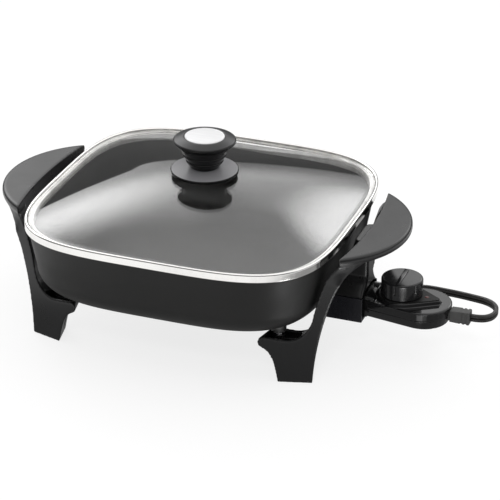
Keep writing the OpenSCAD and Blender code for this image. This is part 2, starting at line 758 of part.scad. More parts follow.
module control_top() placed() color("#151517") {
    difference() {
        union() {
            difference() {
                union() {
                    loft([paddle_ring(0.5, case_split_h), paddle_ring(0, case_top_h - 1.3),
                        paddle_ring(0.4, case_top_h - 0.4), paddle_ring(1.4, case_top_h)]);
                    loft([pear_ring(-1.2, case_top_h - 1), pear_ring(0.3, table_h - 0.8),
                        pear_ring(1, table_h)]);
                    box(nose_x, nose_x1, -nose_hy, nose_hy, case_split_h, case_top_h);
                    intersection() {
                        rod_x(nose_x, vault_x1, 0, arch_h - arch_r, arch_r - 1.5, 144);
                        box(nose_x, vault_x1, 0.4 - nose_hy, nose_hy - 0.4, 50, table_h + 3);
                    }
                }
                case_cavity(case_split_h - 1, case_in_h1);
                translate([dial_x, 0, case_in_h1 - 1])
                    cylinder(h = table_h - 2.4 - case_in_h1 + 1, r = table_r - 4,
                        $fn = round_fn);
            }
            both_y() translate([case_screw_x, case_screw_y, case_split_h])
                cylinder(h = case_in_h1 + 1 - case_split_h, r = 3.4, $fn = small_fn);
        }
        both_y() translate([case_screw_x, case_screw_y, case_split_h - 1])
            cylinder(h = 6, r = 1.3, $fn = small_fn);
        translate([dial_x, 0, case_in_h1])
            cylinder(h = 20, r = shaft_r + 0.4, $fn = small_fn);
        translate([lens_x, 0, case_in_h1 - 1]) {
            cylinder(h = table_h - 2.4 - case_in_h1 + 1, r = 2.9, $fn = small_fn);
            cylinder(h = 20, r = 1.9, $fn = small_fn);
        }
        nose_holes();
        relief_hole();
    }
}

module dial_plate() placed() color("#5d5e61") difference() {
    translate([0, 0, table_h]) linear_extrude(height = plate_t) polygon(pear(1.2));
    translate([dial_x, 0, table_h - 1]) cylinder(h = 4, r = shaft_r + 0.4, $fn = small_fn);
    translate([lens_x, 0, table_h - 1]) cylinder(h = 4, r = 1.9, $fn = small_fn);
}

module pilot_lens() placed() color("#5a1512") translate([lens_x, 0, 0])
    turned([[0, table_h - 2.4], [1.85, table_h - 2.4], [1.85, table_h + plate_t],
        [1.2, table_h + plate_t + 0.4], [0, table_h + plate_t + 0.5]], 32);

module pilot_lamp() placed() color("#d98a5a") translate([lens_x, 0, 0]) {
    turned([[0, 47], [2.5, 47], [2.5, 53], [1.6, 54.6], [0, 55.3]], 32);
    for (y = [-1, 1]) translate([0, y, 42.4]) cylinder(h = 4.6, r = 0.35, $fn = 16);
}

module probe_tube() placed() color("#b5b7b8")
    translate([0, 0, terminal_h]) rotate([0, 90, 0])
        turned([[0, probe_tip_x], [1.8, probe_tip_x + 0.5], [probe_r, probe_tip_x + 2.4],
            [probe_r, 168], [0, 168]], 48);

module contact_sleeves() placed() color("#b98d4f") both_y() difference() {
    rod_x(nose_x + case_wall, sleeve_x1, terminal_y, terminal_h, sleeve_r);
    rod_x(nose_x, 156, terminal_y, terminal_h, pin_r + sleeve_gap);
}

module contact_block() placed() color("#6a4a35") difference() {
    box(150, 162, -14.8, 14.8, case_in_h0 + 0.6, case_in_h1 - 0.4);
    both_y() rod_x(149, 163, terminal_y, terminal_h, sleeve_r);
    rod_x(149, 163, 0, terminal_h, probe_r);
}

module thermostat_frame() placed() color("#a8a9aa") difference() {
    union() {
        box(163, 208, -7, 7, case_in_h0 + 0.6, case_in_h0 + 1.8);
        box(169, 206, -7, 7, 49, 50.2);
        for (x = [169, 204.8]) box(x, x + 1.2, -7, 7, case_in_h0 + 1, 49.6);
        box(187, 198, -4.5, 4.5, case_in_h0 + 1, 44.2);
        translate([dial_x, 0, 47.4]) cylinder(h = 3.6, r = 5, $fn = small_fn);
    }
    translate([dial_x, 0, 47]) cylinder(h = 6, r = shaft_r + bush_gap, $fn = small_fn);
    translate([dial_x, 0, case_in_h0]) cylinder(h = 6, r = follower_r + 0.05, $fn = small_fn);
}

module bimetal_blade() placed() color("#9c8f6a") {
    box(sleeve_x1, 204, -13, -8.4, 44.6, 45.4);
    translate([200, -10.7, 45.4]) cylinder(h = 1.6, r = 1.4, $fn = small_fn);
}

module contact_arms() placed() color("#b98d4f") {
    box(sleeve_x1, 206, 8.4, 13, 45.4, 45.9);
    box(sleeve_x1, 206, 8.4, 13, 49.2, 49.7);
    translate([202, 10.7, 45.9]) cylinder(h = 1.2, r = 1.6, $fn = small_fn);
    translate([202, 10.7, 48]) cylinder(h = 1.2, r = 1.6, $fn = small_fn);
}

module calibration_screw() placed() color("#c9a24a") translate([188, 10.7, 0]) {
    translate([0, 0, 46.4]) cylinder(h = 4.6, r = 1.2, $fn = small_fn);
    translate([0, 0, 50.6]) cylinder(h = 1.2, r = 2.2, $fn = small_fn);
}

module cam_follower() placed() color("#efe9dc") translate([dial_x, 0, 41.7])
    cylinder(h = shaft_end_h - 0.1 - 41.7, r = follower_r, $fn = small_fn);

module housing_screws() placed() color("#9a9c9f") both_y()
    translate([case_screw_x, case_screw_y, 0]) {
        translate([0, 0, case_h0 + 2.4]) cylinder(h = 11.4, r = 1.3, $fn = small_fn);
        translate([0, 0, case_h0 + 0.4]) cylinder(h = 2, r = 2.8, $fn = small_fn);
    }

module inner_leads() placed() color("#c8c5bb") {
    rod([207, 11.6, 44.2], [233.2, 2, 45.8], 1.1);
    rod([163, -11, 42.4], [200, -10.4, 42.4], 1.1);
    rod([200.6, -10.3, 42.4], [233.2, -2, 45.8], 1.1);
}

module dial_knob() placed() color("#4c4d50") translate([dial_x, 0, 0]) {
    foot = table_h + plate_t + 0.3;
    top = foot + dial_h;
    bar_w = 4.2;
    turned([[shaft_r, foot], [dial_r - 0.4, foot], [dial_r, foot + 0.4],
        [dial_r, top - 1.4], [dial_r - 0.4, top - 0.5], [dial_r - 1.4, top],
        [0, top], [0, foot + 9], [shaft_r, foot + 9]]);
    intersection() {
        translate([-bar_w / 2, -dial_r + 2.5, top - 1])
            cube([bar_w, 2 * dial_r - 5, 2.2]);
        translate([0, 0, top - 1]) cylinder(h = 3, r = dial_r - 2.2, $fn = round_fn);
    }
}

module dial_shaft() placed() color("#b5b7b8") translate([dial_x, 0, shaft_end_h])
    cylinder(h = table_h + plate_t + 9.3 - shaft_end_h, r = shaft_r, $fn = small_fn);

module dial_clip() placed() color("#8b8d90") translate([dial_x, 0, 51.2]) difference() {
    cylinder(h = 0.8, r = 5, $fn = small_fn);
    translate([0, 0, -1]) cylinder(h = 3, r = shaft_r, $fn = small_fn);
    box(0, 8, -1.6, 1.6, -1, 3);
}

// ---------------------------------------------------------------- cord

// Rectangle across the cord at x, half sizes hy and hz about height z
function slab_ring(x, y, z, hy, hz) = [
    [x, y - hy, z - hz], [x, y + hy, z - hz], [x, y + hy, z + hz], [x, y - hy, z + hz]];

module strain_relief() placed() color("#4a4a4b") {
    loft([slab_ring(240, 0, relief_h, 5.6, 5.6), slab_ring(relief_x1, 0, relief_h, 5.2, 6.4)]);
    box(236, 241, -4.9, 4.9, relief_h - 4.5, relief_h + 4.5);
    box(relief_x0, 237, -7, 7, relief_h - 6, relief_h + 6);
}

module cord() placed() color("#2a2825") {
    tube(cord_route, cord_h, 3);
    tube(tail_route, cord_h, 3);
}

module cord_coil() placed() color("#2a2825") translate([coil_x, coil_y, 0])
    rotate_extrude($fn = round_fn)
        translate([coil_r - cord_h, 0]) square([cord_w, 2 * coil_turn_h]);

// Strap over the coil's left side
module cord_tie() placed() color("#1c1c1d") difference() {
    tie_t = 1.2;
    side = cord_h + 0.5;
    box(coil_x - coil_r - side - tie_t, coil_x - coil_r + side + tie_t,
        coil_y - 5, coil_y + 5, 0, 2 * coil_turn_h + tie_t);
    box(coil_x - coil_r - side, coil_x - coil_r + side,
        coil_y - 6, coil_y + 6, -1, 2 * coil_turn_h);
}

module plug_body() placed() color("#222222") loft([
    slab_ring(plug_x, plug_y, plug_h, 4.6, 4.6), slab_ring(plug_x + 12, plug_y, plug_h, 7, 6),
    slab_ring(plug_x + 16, plug_y, plug_h, 11, 8),
    slab_ring(plug_x + 31, plug_y, plug_h, 11.5, 8)]);

module plug_blades() placed() color("#c9b27a") for (y = [-6.35, 6.35])
    box(plug_x + 31, plug_x + 48, plug_y + y - 0.75, plug_y + y + 0.75,
        plug_h - (y < 0 ? 3.2 : 3.95), plug_h + (y < 0 ? 3.2 : 3.95));

pan();
heating_element();
terminal_pins();
terminal_bushes();
handle_leg_left();
handle_leg_right();
leg_posts();
leg_screws();
leg_washers();
plug_guard();
guard_screws();
lid_glass();
lid_rim();
knob_collar();
knob_grip();
knob_badge();
knob_insert();
knob_screw();
knob_washer();
knob_gasket();
control_top();
control_base();
dial_plate();
pilot_lens();
pilot_lamp();
probe_tube();
contact_sleeves();
contact_block();
thermostat_frame();
bimetal_blade();
contact_arms();
calibration_screw();
cam_follower();
housing_screws();
inner_leads();
dial_knob();
dial_shaft();
dial_clip();
strain_relief();
cord();
cord_coil();
cord_tie();
plug_body();
plug_blades();
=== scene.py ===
"""Looks of a square electric skillet with a glass lid and a plug-in heat control.

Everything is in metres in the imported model's frame. Sizes given in millimetres are
turned into metres where they are used, and "pan-centred" points are measured from
the middle of the pan, which lies a little to the left of the frame's origin.
"""
import math

import bmesh
import bpy
import numpy as np
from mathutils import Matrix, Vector


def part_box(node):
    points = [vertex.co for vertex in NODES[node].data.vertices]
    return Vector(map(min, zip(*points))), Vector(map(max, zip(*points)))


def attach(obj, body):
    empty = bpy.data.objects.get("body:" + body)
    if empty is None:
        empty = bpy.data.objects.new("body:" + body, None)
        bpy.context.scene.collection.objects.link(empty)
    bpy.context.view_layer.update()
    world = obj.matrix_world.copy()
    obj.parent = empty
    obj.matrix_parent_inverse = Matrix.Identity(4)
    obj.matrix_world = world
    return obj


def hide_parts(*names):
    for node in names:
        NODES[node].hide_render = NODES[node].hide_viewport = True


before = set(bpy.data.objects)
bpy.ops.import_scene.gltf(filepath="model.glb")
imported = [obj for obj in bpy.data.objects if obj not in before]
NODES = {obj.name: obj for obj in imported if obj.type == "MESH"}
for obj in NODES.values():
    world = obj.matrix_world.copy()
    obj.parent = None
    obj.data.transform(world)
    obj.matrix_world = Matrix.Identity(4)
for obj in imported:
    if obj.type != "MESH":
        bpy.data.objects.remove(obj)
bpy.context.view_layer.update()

MM = 0.001

# ------------------------------------------------------------------ measures

RIM_LOW, RIM_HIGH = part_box("lid_rim")
PAN_LOW, PAN_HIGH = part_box("pan")
GLASS_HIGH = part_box("lid_glass")[1]
PAN_X = (RIM_LOW.x + RIM_HIGH.x) / 2
# how square the pan's and the lid's outlines are: 2 is round, and more is squarer
CORNER_POWER = 3.9
# points around such an outline, and how far they crowd towards its corners
AROUND = 288
CROWDING = 0.16
# a turned outline keeps this far off its axis, in millimetres, so no face collapses
AXIS_GAP = 0.02
# points of a CAD mesh that are closer than this, in millimetres, are one point
WELD = 0.002


def pan_point(x, y, z):
    """A pan-centred point given in millimetres."""
    return Vector((PAN_X + x * MM, y * MM, z * MM))


# ------------------------------------------------------------------ camera

CAMERA_AZIMUTH = math.radians(20.92)
CAMERA_ELEVATION = math.radians(26.54)
CAMERA_DISTANCE = 2.1121
CAMERA_LENS_MM = 161.95
LEVEL_POINT = pan_point(0, 0, 58.8)
AIM_POINT = pan_point(38.36, 18.8, 66.54)


def add_camera():
    """The view is level about LEVEL_POINT, then turned the least way to AIM_POINT."""
    a, e = CAMERA_AZIMUTH, CAMERA_ELEVATION
    back = Vector((math.sin(a) * math.cos(e), -math.cos(a) * math.cos(e), math.sin(e)))
    data = bpy.data.cameras.new("camera")
    data.lens = CAMERA_LENS_MM
    data.sensor_width = 36
    data.clip_start, data.clip_end = 0.05, 50
    camera = bpy.data.objects.new("camera", data)
    camera.location = LEVEL_POINT + back * CAMERA_DISTANCE
    aim = (AIM_POINT - camera.location).normalized()
    camera.rotation_mode = "QUATERNION"
    level = (-back).to_track_quat("-Z", "Y")
    camera.rotation_quaternion = (-back).rotation_difference(aim) @ level
    bpy.context.scene.collection.objects.link(camera)
    bpy.context.scene.camera = camera


add_camera()

# ------------------------------------------------------------------ mesh tools


def link(name, mesh, smooth=True):
    """Puts a mesh into the scene as a named piece."""
    piece = bpy.data.objects.new(name, mesh)
    bpy.context.scene.collection.objects.link(piece)
    if smooth:
        mesh.polygons.foreach_set("use_smooth", [True] * len(mesh.polygons))
    return piece


def from_bmesh(name, bm, smooth=True, sharp_deg=None):
    """Makes a piece and keeps the edges that bend more than sharp_deg crisp."""
    bmesh.ops.recalc_face_normals(bm, faces=bm.faces)
    mesh = bpy.data.meshes.new(name)
    bm.to_mesh(mesh)
    bm.free()
    piece = link(name, mesh, smooth)
    if sharp_deg is not None:
        mesh.set_sharp_from_angle(angle=math.radians(sharp_deg))
    return piece


def skin(bm, rings, along_closed=False):
    """Quads over rings of equal point counts, with a face on each open end."""
    made = [[bm.verts.new(p) for p in ring] for ring in rings]
    count = len(made[0])
    spans = len(made) if along_closed else len(made) - 1
    for j in range(spans):
        a, b = made[j], made[(j + 1) % len(made)]
        for i in range(count):
            bm.faces.new((a[i], a[(i + 1) % count], b[(i + 1) % count], b[i]))
    if not along_closed:
        bm.faces.new(made[0])
        bm.faces.new(made[-1])


def turned(bm, profile, centre, steps):
    """Revolves (radius, height) points in millimetres about a vertical axis."""
    rings = []
    for radius, height in profile:
        radius = max(radius, AXIS_GAP)
        rings.append([Vector((centre.x + radius * MM * math.cos(t),
                              centre.y + radius * MM * math.sin(t), height * MM))
                      for t in np.linspace(0, 2 * math.pi, steps, endpoint=False)])
    skin(bm, rings)


def rounded(points, radius, steps=4):
    """An open profile with each inner corner replaced by a short curve."""
    # the share of an edge that one curve may take, so that two never meet
    most = 0.45
    out = [points[0]]
    for before, here, after in zip(points, points[1:], points[2:]):
        before, here, after = Vector(before), Vector(here), Vector(after)
        reach = min(radius, (here - before).length * most, (after - here).length * most)
        start = here + (before - here).normalized() * reach
        end = here + (after - here).normalized() * reach
        for k in range(steps + 1):
            t = k / steps
            out.append(tuple(start * (1 - t) ** 2 + here * 2 * t * (1 - t) + end * t * t))
    out.append(points[-1])
    return out


def squircle(half_x, half_y, z, power=CORNER_POWER):
    """A pan-centred rounded square at a height, all in millimetres."""
    ring = []
    for i in range(AROUND):
        t = 2 * math.pi * i / AROUND
        # points crowd towards the corners, where the outline bends most
        t -= CROWDING * math.sin(4 * t)
        c, s = abs(math.cos(t)), abs(math.sin(t))
        k = 1 / ((c / half_x) ** power + (s / half_y) ** power) ** (1 / power)
        ring.append(pan_point(k * math.cos(t), k * math.sin(t), z))
    return ring


def applied(piece):
    """The piece with its modifiers applied."""
    graph = bpy.context.evaluated_depsgraph_get()
    mesh = bpy.data.meshes.new_from_object(piece.evaluated_get(graph), depsgraph=graph)
    old = piece.data
    piece.modifiers.clear()
    piece.data = mesh
    bpy.data.meshes.remove(old)
    return piece


def moulded(name, node, voxel, passes):
    """A CAD node's shape as one evenly meshed skin whose edges and corners are rounded."""
    bm = bmesh.new()
    bm.from_mesh(NODES[node].data)
    bmesh.ops.remove_doubles(bm, verts=bm.verts, dist=WELD * MM)
    mesh = bpy.data.meshes.new(name)
    bm.to_mesh(mesh)
    bm.free()
    piece = link(name, mesh)
    remesh = piece.modifiers.new("remesh", "REMESH")
    remesh.mode = "VOXEL"
    remesh.voxel_size = voxel * MM
    remesh.use_smooth_shade = True
    smooth = piece.modifiers.new("smooth", "SMOOTH")
    smooth.factor = 0.5
    smooth.iterations = passes
    return applied(piece)


def finished(piece, body, material, slot, *nodes):
    """Gives a piece its material and its body, and hides the nodes it replaces. The slot is
    not used.
    """
    piece.data.materials.clear()
    piece.data.materials.append(material)
    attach(piece, body)
    if nodes:
        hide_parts(*nodes)
    return piece


# ------------------------------------------------------------------ materials


class Tree:
    """A node tree and the few steps that patterns and lights are built from."""

    def __init__(self, tree):
        self.tree = tree

    def add(self, kind, **values):
        """A new node with some properties set."""
        node = self.tree.nodes.new(kind)
        for key, value in values.items():
            setattr(node, key, value)
        return node

    def wire(self, a, b):
        """Links an output to an input."""
        self.tree.links.new(a, b)

    def ranged(self, value, low, high, to_low, to_high, **values):
        """A value between low and high as one between to_low and to_high."""
        node = self.add("ShaderNodeMapRange", **values)
        for socket, number in zip(("From Min", "From Max", "To Min", "To Max"),
                                  (low, high, to_low, to_high)):
            node.inputs[socket].default_value = number
        self.wire(value, node.inputs["Value"])
        return node.outputs["Result"]

    def stretched(self, place, scale, shift=(0, 0, 0)):
        """Coordinates times a scale for each axis, plus a shift."""
        mapping = self.add("ShaderNodeMapping")
        mapping.inputs["Location"].default_value = shift
        mapping.inputs["Scale"].default_value = scale
        self.wire(place, mapping.inputs["Vector"])
        return mapping.outputs["Vector"]


class Look(Tree):
    """A Principled material and the patterns that are laid on it."""

    def __init__(self, name, colour, roughness, **sockets):
        self.material = bpy.data.materials.new(name)
        self.material.use_nodes = True
        super().__init__(self.material.node_tree)
        self.shader = self.tree.nodes["Principled BSDF"]
        self.shader.inputs["Base Color"].default_value = (*colour, 1)
        self.shader.inputs["Roughness"].default_value = roughness
        for socket, value in sockets.items():
            self.shader.inputs[socket.replace("_", " ")].default_value = value
        self.height = None
        self.place = self.add("ShaderNodeTexCoord").outputs["Object"]

    def noise(self, scale, detail, stretch=None):
        """Soft random patches, about 1 / scale metres apart."""
        node = self.add("ShaderNodeTexNoise")
        node.inputs["Scale"].default_value = scale
        node.inputs["Detail"].default_value = detail
        node.inputs["Roughness"].default_value = 0.55
        place = self.stretched(self.place, stretch) if stretch else self.place
        self.wire(place, node.inputs["Vector"])
        return node.outputs["Fac"]

    def bump(self, value, strength, distance_mm):
        """Adds a height pattern to those already there."""
        node = self.add("ShaderNodeBump")
        node.inputs["Strength"].default_value = strength
        node.inputs["Distance"].default_value = distance_mm * MM
        self.wire(value, node.inputs["Height"])
        if self.height is not None:
            self.wire(self.height, node.inputs["Normal"])
        self.height = node.outputs["Normal"]
        self.wire(self.height, self.shader.inputs["Normal"])

    def tinted(self, value, other):
        """Mixes the base colour towards another where the value is high."""
        source = self.shader.inputs["Base Color"]
        mix = self.add("ShaderNodeMix", data_type="RGBA")
        if source.is_linked:
            self.wire(source.links[0].from_socket, mix.inputs["A"])
        else:
            mix.inputs["A"].default_value = source.default_value
        mix.inputs["B"].default_value = (*other, 1)
        self.wire(value, mix.inputs["Factor"])
        self.wire(mix.outputs["Result"], source)

    def blotched(self, pattern, low, high, amount, other):
        """Mixes in up to an amount of another colour as a pattern goes from low to high."""
        self.tinted(self.ranged(pattern, low, high, 0, amount), other)

    def roughened(self, value, low, high):
        """Roughness between two numbers, following a value from 0.3 to 0.7."""
        self.wire(self.ranged(value, 0.3, 0.7, low, high), self.shader.inputs["Roughness"])

    def edge_wear(self, colour, amount):
        """Lightens rims and corners, where hands and cloths rub the moulding."""
        pointed = self.add("ShaderNodeNewGeometry").outputs["Pointiness"]
        self.blotched(pointed, 0.53, 0.62, amount, colour)


def shifted(colour, factor, plus=0.0):
    """A colour made lighter or darker."""
    return tuple(c * factor + plus for c in colour)


def moulding(name, colour, low, high, wear=0.25, peel=0.06, shine=0.5):
    """Hard plastic with orange peel and rubbed edges; its roughness is low to high."""
    look = Look(name, colour, (low + high) / 2, IOR=1.5, Specular_IOR_Level=shine)
    look.roughened(look.noise(38, 5), low, high)
    look.blotched(look.noise(9, 3), 0.35, 0.7, 0.5, shifted(colour, 1.5, 0.002))
    look.edge_wear(shifted(colour, 1, 0.03), wear)
    look.bump(look.noise(900, 2), peel, 0.05)
    look.bump(look.noise(60, 2), 0.05, 0.25)
    return look.material


def knob_moulding(name, satin, roughness):
    """Polished black; faces that look up are rougher, as the turning tool leaves them, and
    lightened in colour as a painted sheen.
    """
    look = Look(name, (0.004, 0.004, 0.0043), 0.2, IOR=1.5, Specular_IOR_Level=0.3)
    faces = look.add("ShaderNodeSeparateXYZ")
    look.wire(look.add("ShaderNodeNewGeometry").outputs["Normal"], faces.inputs["Vector"])
    upward_satin_and_sheen = look.ranged(faces.outputs["Z"], 0.86, 0.95, 0, 1)
    grain = look.noise(420, 3, (1, 1, 0.2))
    # painted sheen: the satin colour lightens the faces that look up, as if lit from above
    look.tinted(upward_satin_and_sheen, satin)
    look.wire(look.ranged(upward_satin_and_sheen, 0, 1, 0.12, roughness), look.shader.inputs["Roughness"])
    look.blotched(look.noise(12, 3), 0.4, 0.7, 0.15, (0.012, 0.012, 0.0125))
    look.bump(grain, 0.04, 0.03)
    return look.material


def metal(name, colour, low, high, stretch=(1, 1, 1), scale=500, lines=0.1):
    """Bare metal with a grain, and patches a little darker than the rest."""
    look = Look(name, colour, (low + high) / 2, Metallic=1.0)
    grain = look.noise(scale, 3, stretch)
    look.roughened(grain, low, high)
    look.blotched(look.noise(14, 4), 0.4, 0.7, 0.35, shifted(colour, 0.72))
    look.bump(grain, lines, 0.03)
    return look.material


def satin_steel_painted_streaks(name):
    """Steel left dull by the rolls, rougher in lines that run down it, with pale and dark
    lines in its colour as a painted reflection of lamps in brushed steel.
    """
    look = Look(name, (0.88, 0.87, 0.855), 0.4, Metallic=0.12)
    streaks_and_painted_reflections = look.noise(60, 4, (1, 1, 0.12))
    look.roughened(streaks_and_painted_reflections, 0.3, 0.5)
    # painted reflection: the darker lines down the band stand in for the streaky reflections
    # of brushed steel
    look.blotched(streaks_and_painted_reflections, 0.45, 0.66, 0.7, (0.50, 0.49, 0.48))
    look.bump(streaks_and_painted_reflections, 0.1, 0.05)
    return look.material


def coated(name):
    """Dark non-stick coating: fine speckle, a soft sheen and faint rub marks."""
    look = Look(name, (0.0105, 0.0105, 0.0102), 0.5, IOR=1.45)
    look.roughened(look.noise(30, 4), 0.42, 0.56)
    look.blotched(look.noise(2600, 1), 0.60, 0.72, 0.6, (0.026, 0.0255, 0.0245))
    look.blotched(look.noise(11, 3), 0.4, 0.75, 0.4, (0.017, 0.0165, 0.016))
    look.bump(look.noise(2200, 2), 0.03, 0.04)
    look.bump(look.noise(160, 2), 0.025, 0.2)
    return look.material


def clear_glass(name):
    """Tempered glass that lets lamps through to what is under it."""
    look = Look(name, (0.985, 0.984, 0.978), 0.0, IOR=1.5, Transmission_Weight=1.0)
    look.bump(look.noise(7, 1), 0.01, 0.15)
    shader_out = look.tree.nodes["Material Output"]
    clear = look.add("ShaderNodeBsdfTransparent")
    clear.inputs["Color"].default_value = (0.965, 0.965, 0.96, 1)
    mix = look.add("ShaderNodeMixShader")
    rays = look.add("ShaderNodeLightPath")
    look.wire(rays.outputs["Is Shadow Ray"], mix.inputs["Fac"])
    look.wire(look.shader.outputs["BSDF"], mix.inputs[1])
    look.wire(clear.outputs["BSDF"], mix.inputs[2])
    look.wire(mix.outputs["Shader"], shader_out.inputs["Surface"])
    return look.material


def brushed_disc(name):
    """White-silver badge brushed in straight lines."""
    look = Look(name, (0.76, 0.76, 0.765), 0.4, Metallic=0.25)
    lines = look.noise(700, 3, (0.05, 1, 1))
    look.roughened(lines, 0.28, 0.48)
    look.blotched(lines, 0.4, 0.7, 0.35, (0.64, 0.64, 0.65))
    look.bump(lines, 0.12, 0.02)
    return look.material


def rubbery(name, colour, low=0.38, high=0.55):
    """Soft rubber or cord jacket with a fine matt skin."""
    look = Look(name, colour, (low + high) / 2)
    look.roughened(look.noise(120, 4), low, high)
    look.blotched(look.noise(25, 3), 0.4, 0.7, 0.5, shifted(colour, 1.6))
    look.bump(look.noise(1400, 2), 0.12, 0.05)
    return look.material


def speckled_stone(name, colour, low, high):
    """Unglazed ceramic or fibre board."""
    look = Look(name, colour, (low + high) / 2)
    look.roughened(look.noise(80, 4), low, high)
    look.blotched(look.noise(1500, 2), 0.55, 0.75, 0.5, shifted(colour, 0.6))
    look.bump(look.noise(900, 3), 0.15, 0.05)
    return look.material


def lens_red(name):
    """Red plastic or glass that lets a little light in."""
    look = Look(name, (0.10, 0.012, 0.010), 0.12, Transmission_Weight=0.25, IOR=1.5)
    look.roughened(look.noise(200, 3), 0.08, 0.16)
    look.bump(look.noise(700, 1), 0.1, 0.04)
    return look.material


def woven(name, colour):
    """Braided glass sleeving."""
    look = Look(name, colour, 0.8)
    wave = look.add("ShaderNodeTexWave", wave_type="BANDS", bands_direction="DIAGONAL")
    wave.inputs["Scale"].default_value = 900
    look.wire(look.place, wave.inputs["Vector"])
    look.bump(wave.outputs["Fac"], 0.5, 0.15)
    look.blotched(wave.outputs["Fac"], 0.2, 0.8, 0.4, shifted(colour, 0.7))
    look.roughened(look.noise(300, 2), 0.7, 0.9)
    return look.material


PHENOLIC = moulding("phenolic", (0.008, 0.008, 0.0083), 0.26, 0.34)
GLOSS_BLACK = moulding("gloss_black", (0.005, 0.005, 0.0052), 0.06, 0.11, wear=0.06,
                       peel=0.02)
# the second colour of each knob moulding is a painted sheen on its faces that look up
KNOB_BLACK_PAINTED_SHEEN = knob_moulding("knob_black", (0.030, 0.030, 0.0315), 0.34)
COLLAR_BLACK_PAINTED_SHEEN = knob_moulding("knob_collar_black_painted_sheen", (0.24, 0.238, 0.248), 0.33)
GUARD_BLACK = moulding("guard_black", (0.007, 0.007, 0.0095), 0.22, 0.3, wear=0.2, shine=0.4)
DIAL_GREY = moulding("dial_grey", (0.010, 0.010, 0.0105), 0.12, 0.18, wear=0.1, peel=0.02)
PLATE_GREY = moulding("plate_grey", (0.006, 0.006, 0.0058), 0.36, 0.46, wear=0.1, shine=0.14)
RELIEF_GREY = moulding("relief_grey", (0.045, 0.045, 0.044), 0.5, 0.62, wear=0.3, peel=0.2)
PLUG_BLACK = moulding("plug_black", (0.012, 0.012, 0.012), 0.42, 0.55, wear=0.3, peel=0.2)
TIE_BLACK = moulding("tie_black", (0.010, 0.010, 0.010), 0.4, 0.5, wear=0.2)
BLOCK_BROWN = speckled_stone("block_brown", (0.12, 0.055, 0.025), 0.45, 0.6)
CERAMIC = speckled_stone("ceramic", (0.72, 0.66, 0.55), 0.5, 0.7)
COATED = coated("non_stick")
RIM_STEEL = metal("rim_steel", (0.88, 0.87, 0.85), 0.08, 0.16, stretch=(1, 1, 0.3),
                  scale=300, lines=0.04)
RIM_INSIDE = satin_steel_painted_streaks("satin_steel_painted_streaks")
ELEMENT = metal("element_sheath", (0.20, 0.19, 0.18), 0.35, 0.5)
SCREW_STEEL = metal("screw_steel", (0.55, 0.56, 0.57), 0.25, 0.38)
PLATED = metal("plated_metal", (0.68, 0.68, 0.67), 0.2, 0.32)
CAST_METAL = metal("cast_metal", (0.62, 0.62, 0.61), 0.42, 0.55)
POST_METAL = metal("post_metal", (0.74, 0.74, 0.75), 0.22, 0.34, (1, 1, 6))
PROBE_STEEL = metal("probe_steel", (0.66, 0.66, 0.66), 0.2, 0.32, (0.1, 1, 1))
BIMETAL = metal("bimetal", (0.55, 0.50, 0.38), 0.28, 0.4, (0.1, 1, 1))
BRASS = metal("brass", (0.74, 0.56, 0.26), 0.2, 0.35)
GLASS = clear_glass("lid_glass")
BADGE = brushed_disc("badge")
LENS_RED = lens_red("pilot_red")
LAMP_GLASS = lens_red("lamp_glass")
SILICONE = rubbery("silicone", (0.42, 0.41, 0.39), 0.5, 0.65)
CORD_JACKET = rubbery("cord_jacket", (0.016, 0.015, 0.0145))
SLEEVING = woven("lead_sleeving", (0.62, 0.59, 0.52))

# ------------------------------------------------------------------ cord

CORD_WIDTH = 0.0075
CORD_THICK = 0.0042
COIL_CENTRE = (-0.025, 0.212)
COIL_RADIUS = 0.043
COIL_TURNS = 1.5
# points of the cord's line between two points of its route
CORD_STEPS = 6
# the route of part.scad, pan-centred
CORD_ROUTE = [
    (0.258, 0, 0.0458), (0.264, 0.0002, 0.0458), (0.2705, 0.0032, 0.0454),
    (0.275, 0.010, 0.0446), (0.2762, 0.020, 0.0434), (0.2742, 0.031, 0.042),
    (0.2685, 0.042, 0.0398), (0.259, 0.052, 0.037), (0.246, 0.060, 0.034),
    (0.230, 0.0665, 0.0316), (0.212, 0.0725, 0.029), (0.195, 0.079, 0.0255),
    (0.178, 0.087, 0.0185), (0.160, 0.0945, 0.0105), (0.140, 0.103, 0.0052),
    (0.120, 0.114, 0.00375), (0.098, 0.131, 0.00375), (0.072, 0.149, 0.00375),
    (0.042, 0.1625, 0.00375), (0.008, 0.1686, 0.00375), (-0.025, 0.169, 0.00375)]
TAIL_ROUTE = [(-0.025, 0.255, 0.01125), (-0.008, 0.2556, 0.0108), (0.008, 0.256, 0.0096),
              (0.020, 0.256, 0.0086)]


def smooth_line(points):
    """Catmull-Rom line through points, as part.scad draws its tube."""
    p = [Vector(q) for q in points]
    line = []
    for i in range(len(p) - 1):
        a, b, c, d = p[max(i - 1, 0)], p[i], p[i + 1], p[min(i + 2, len(p) - 1)]
        for k in range(CORD_STEPS):
            t = k / CORD_STEPS
            line.append(b + (c - a) * (t / 2) + (a - b * 2.5 + c * 2 - d * 0.5) * t ** 2
                        + (b * 1.5 - a * 0.5 - c * 1.5 + d * 0.5) * t ** 3)
    return line + [p[-1]]


def coil_line(steps=90):
    """Turns clockwise from the front, the second layer on top of the first."""
    climb_from, climb_deg = 285, 75
    line = []
    for i in range(1, steps):
        turned_deg = 360 * COIL_TURNS * i / steps
        t = math.radians(-90 - turned_deg)
        rise = min(max((turned_deg - climb_from) / climb_deg, 0), 1)
        rise = rise * rise * (3 - 2 * rise)
        line.append(Vector((COIL_CENTRE[0] + COIL_RADIUS * math.cos(t),
                            COIL_CENTRE[1] + COIL_RADIUS * math.sin(t),
                            CORD_WIDTH * (0.5 + rise))))
    return line


def cord_section(steps=9):
    """Two round cores side by side with a groove between, as (across, up) points."""
    core = CORD_THICK / 2
    shift = CORD_WIDTH / 2 - core
    # where each core's round side meets the groove
    lowest = math.radians(-52)
    points = []
    for side in (1, -1):
        for k in range(steps):
            t = lowest + (math.pi - 2 * lowest) * k / (steps - 1)
            points.append((side * core * math.cos(t), side * (shift + core * math.sin(t))))
    return points


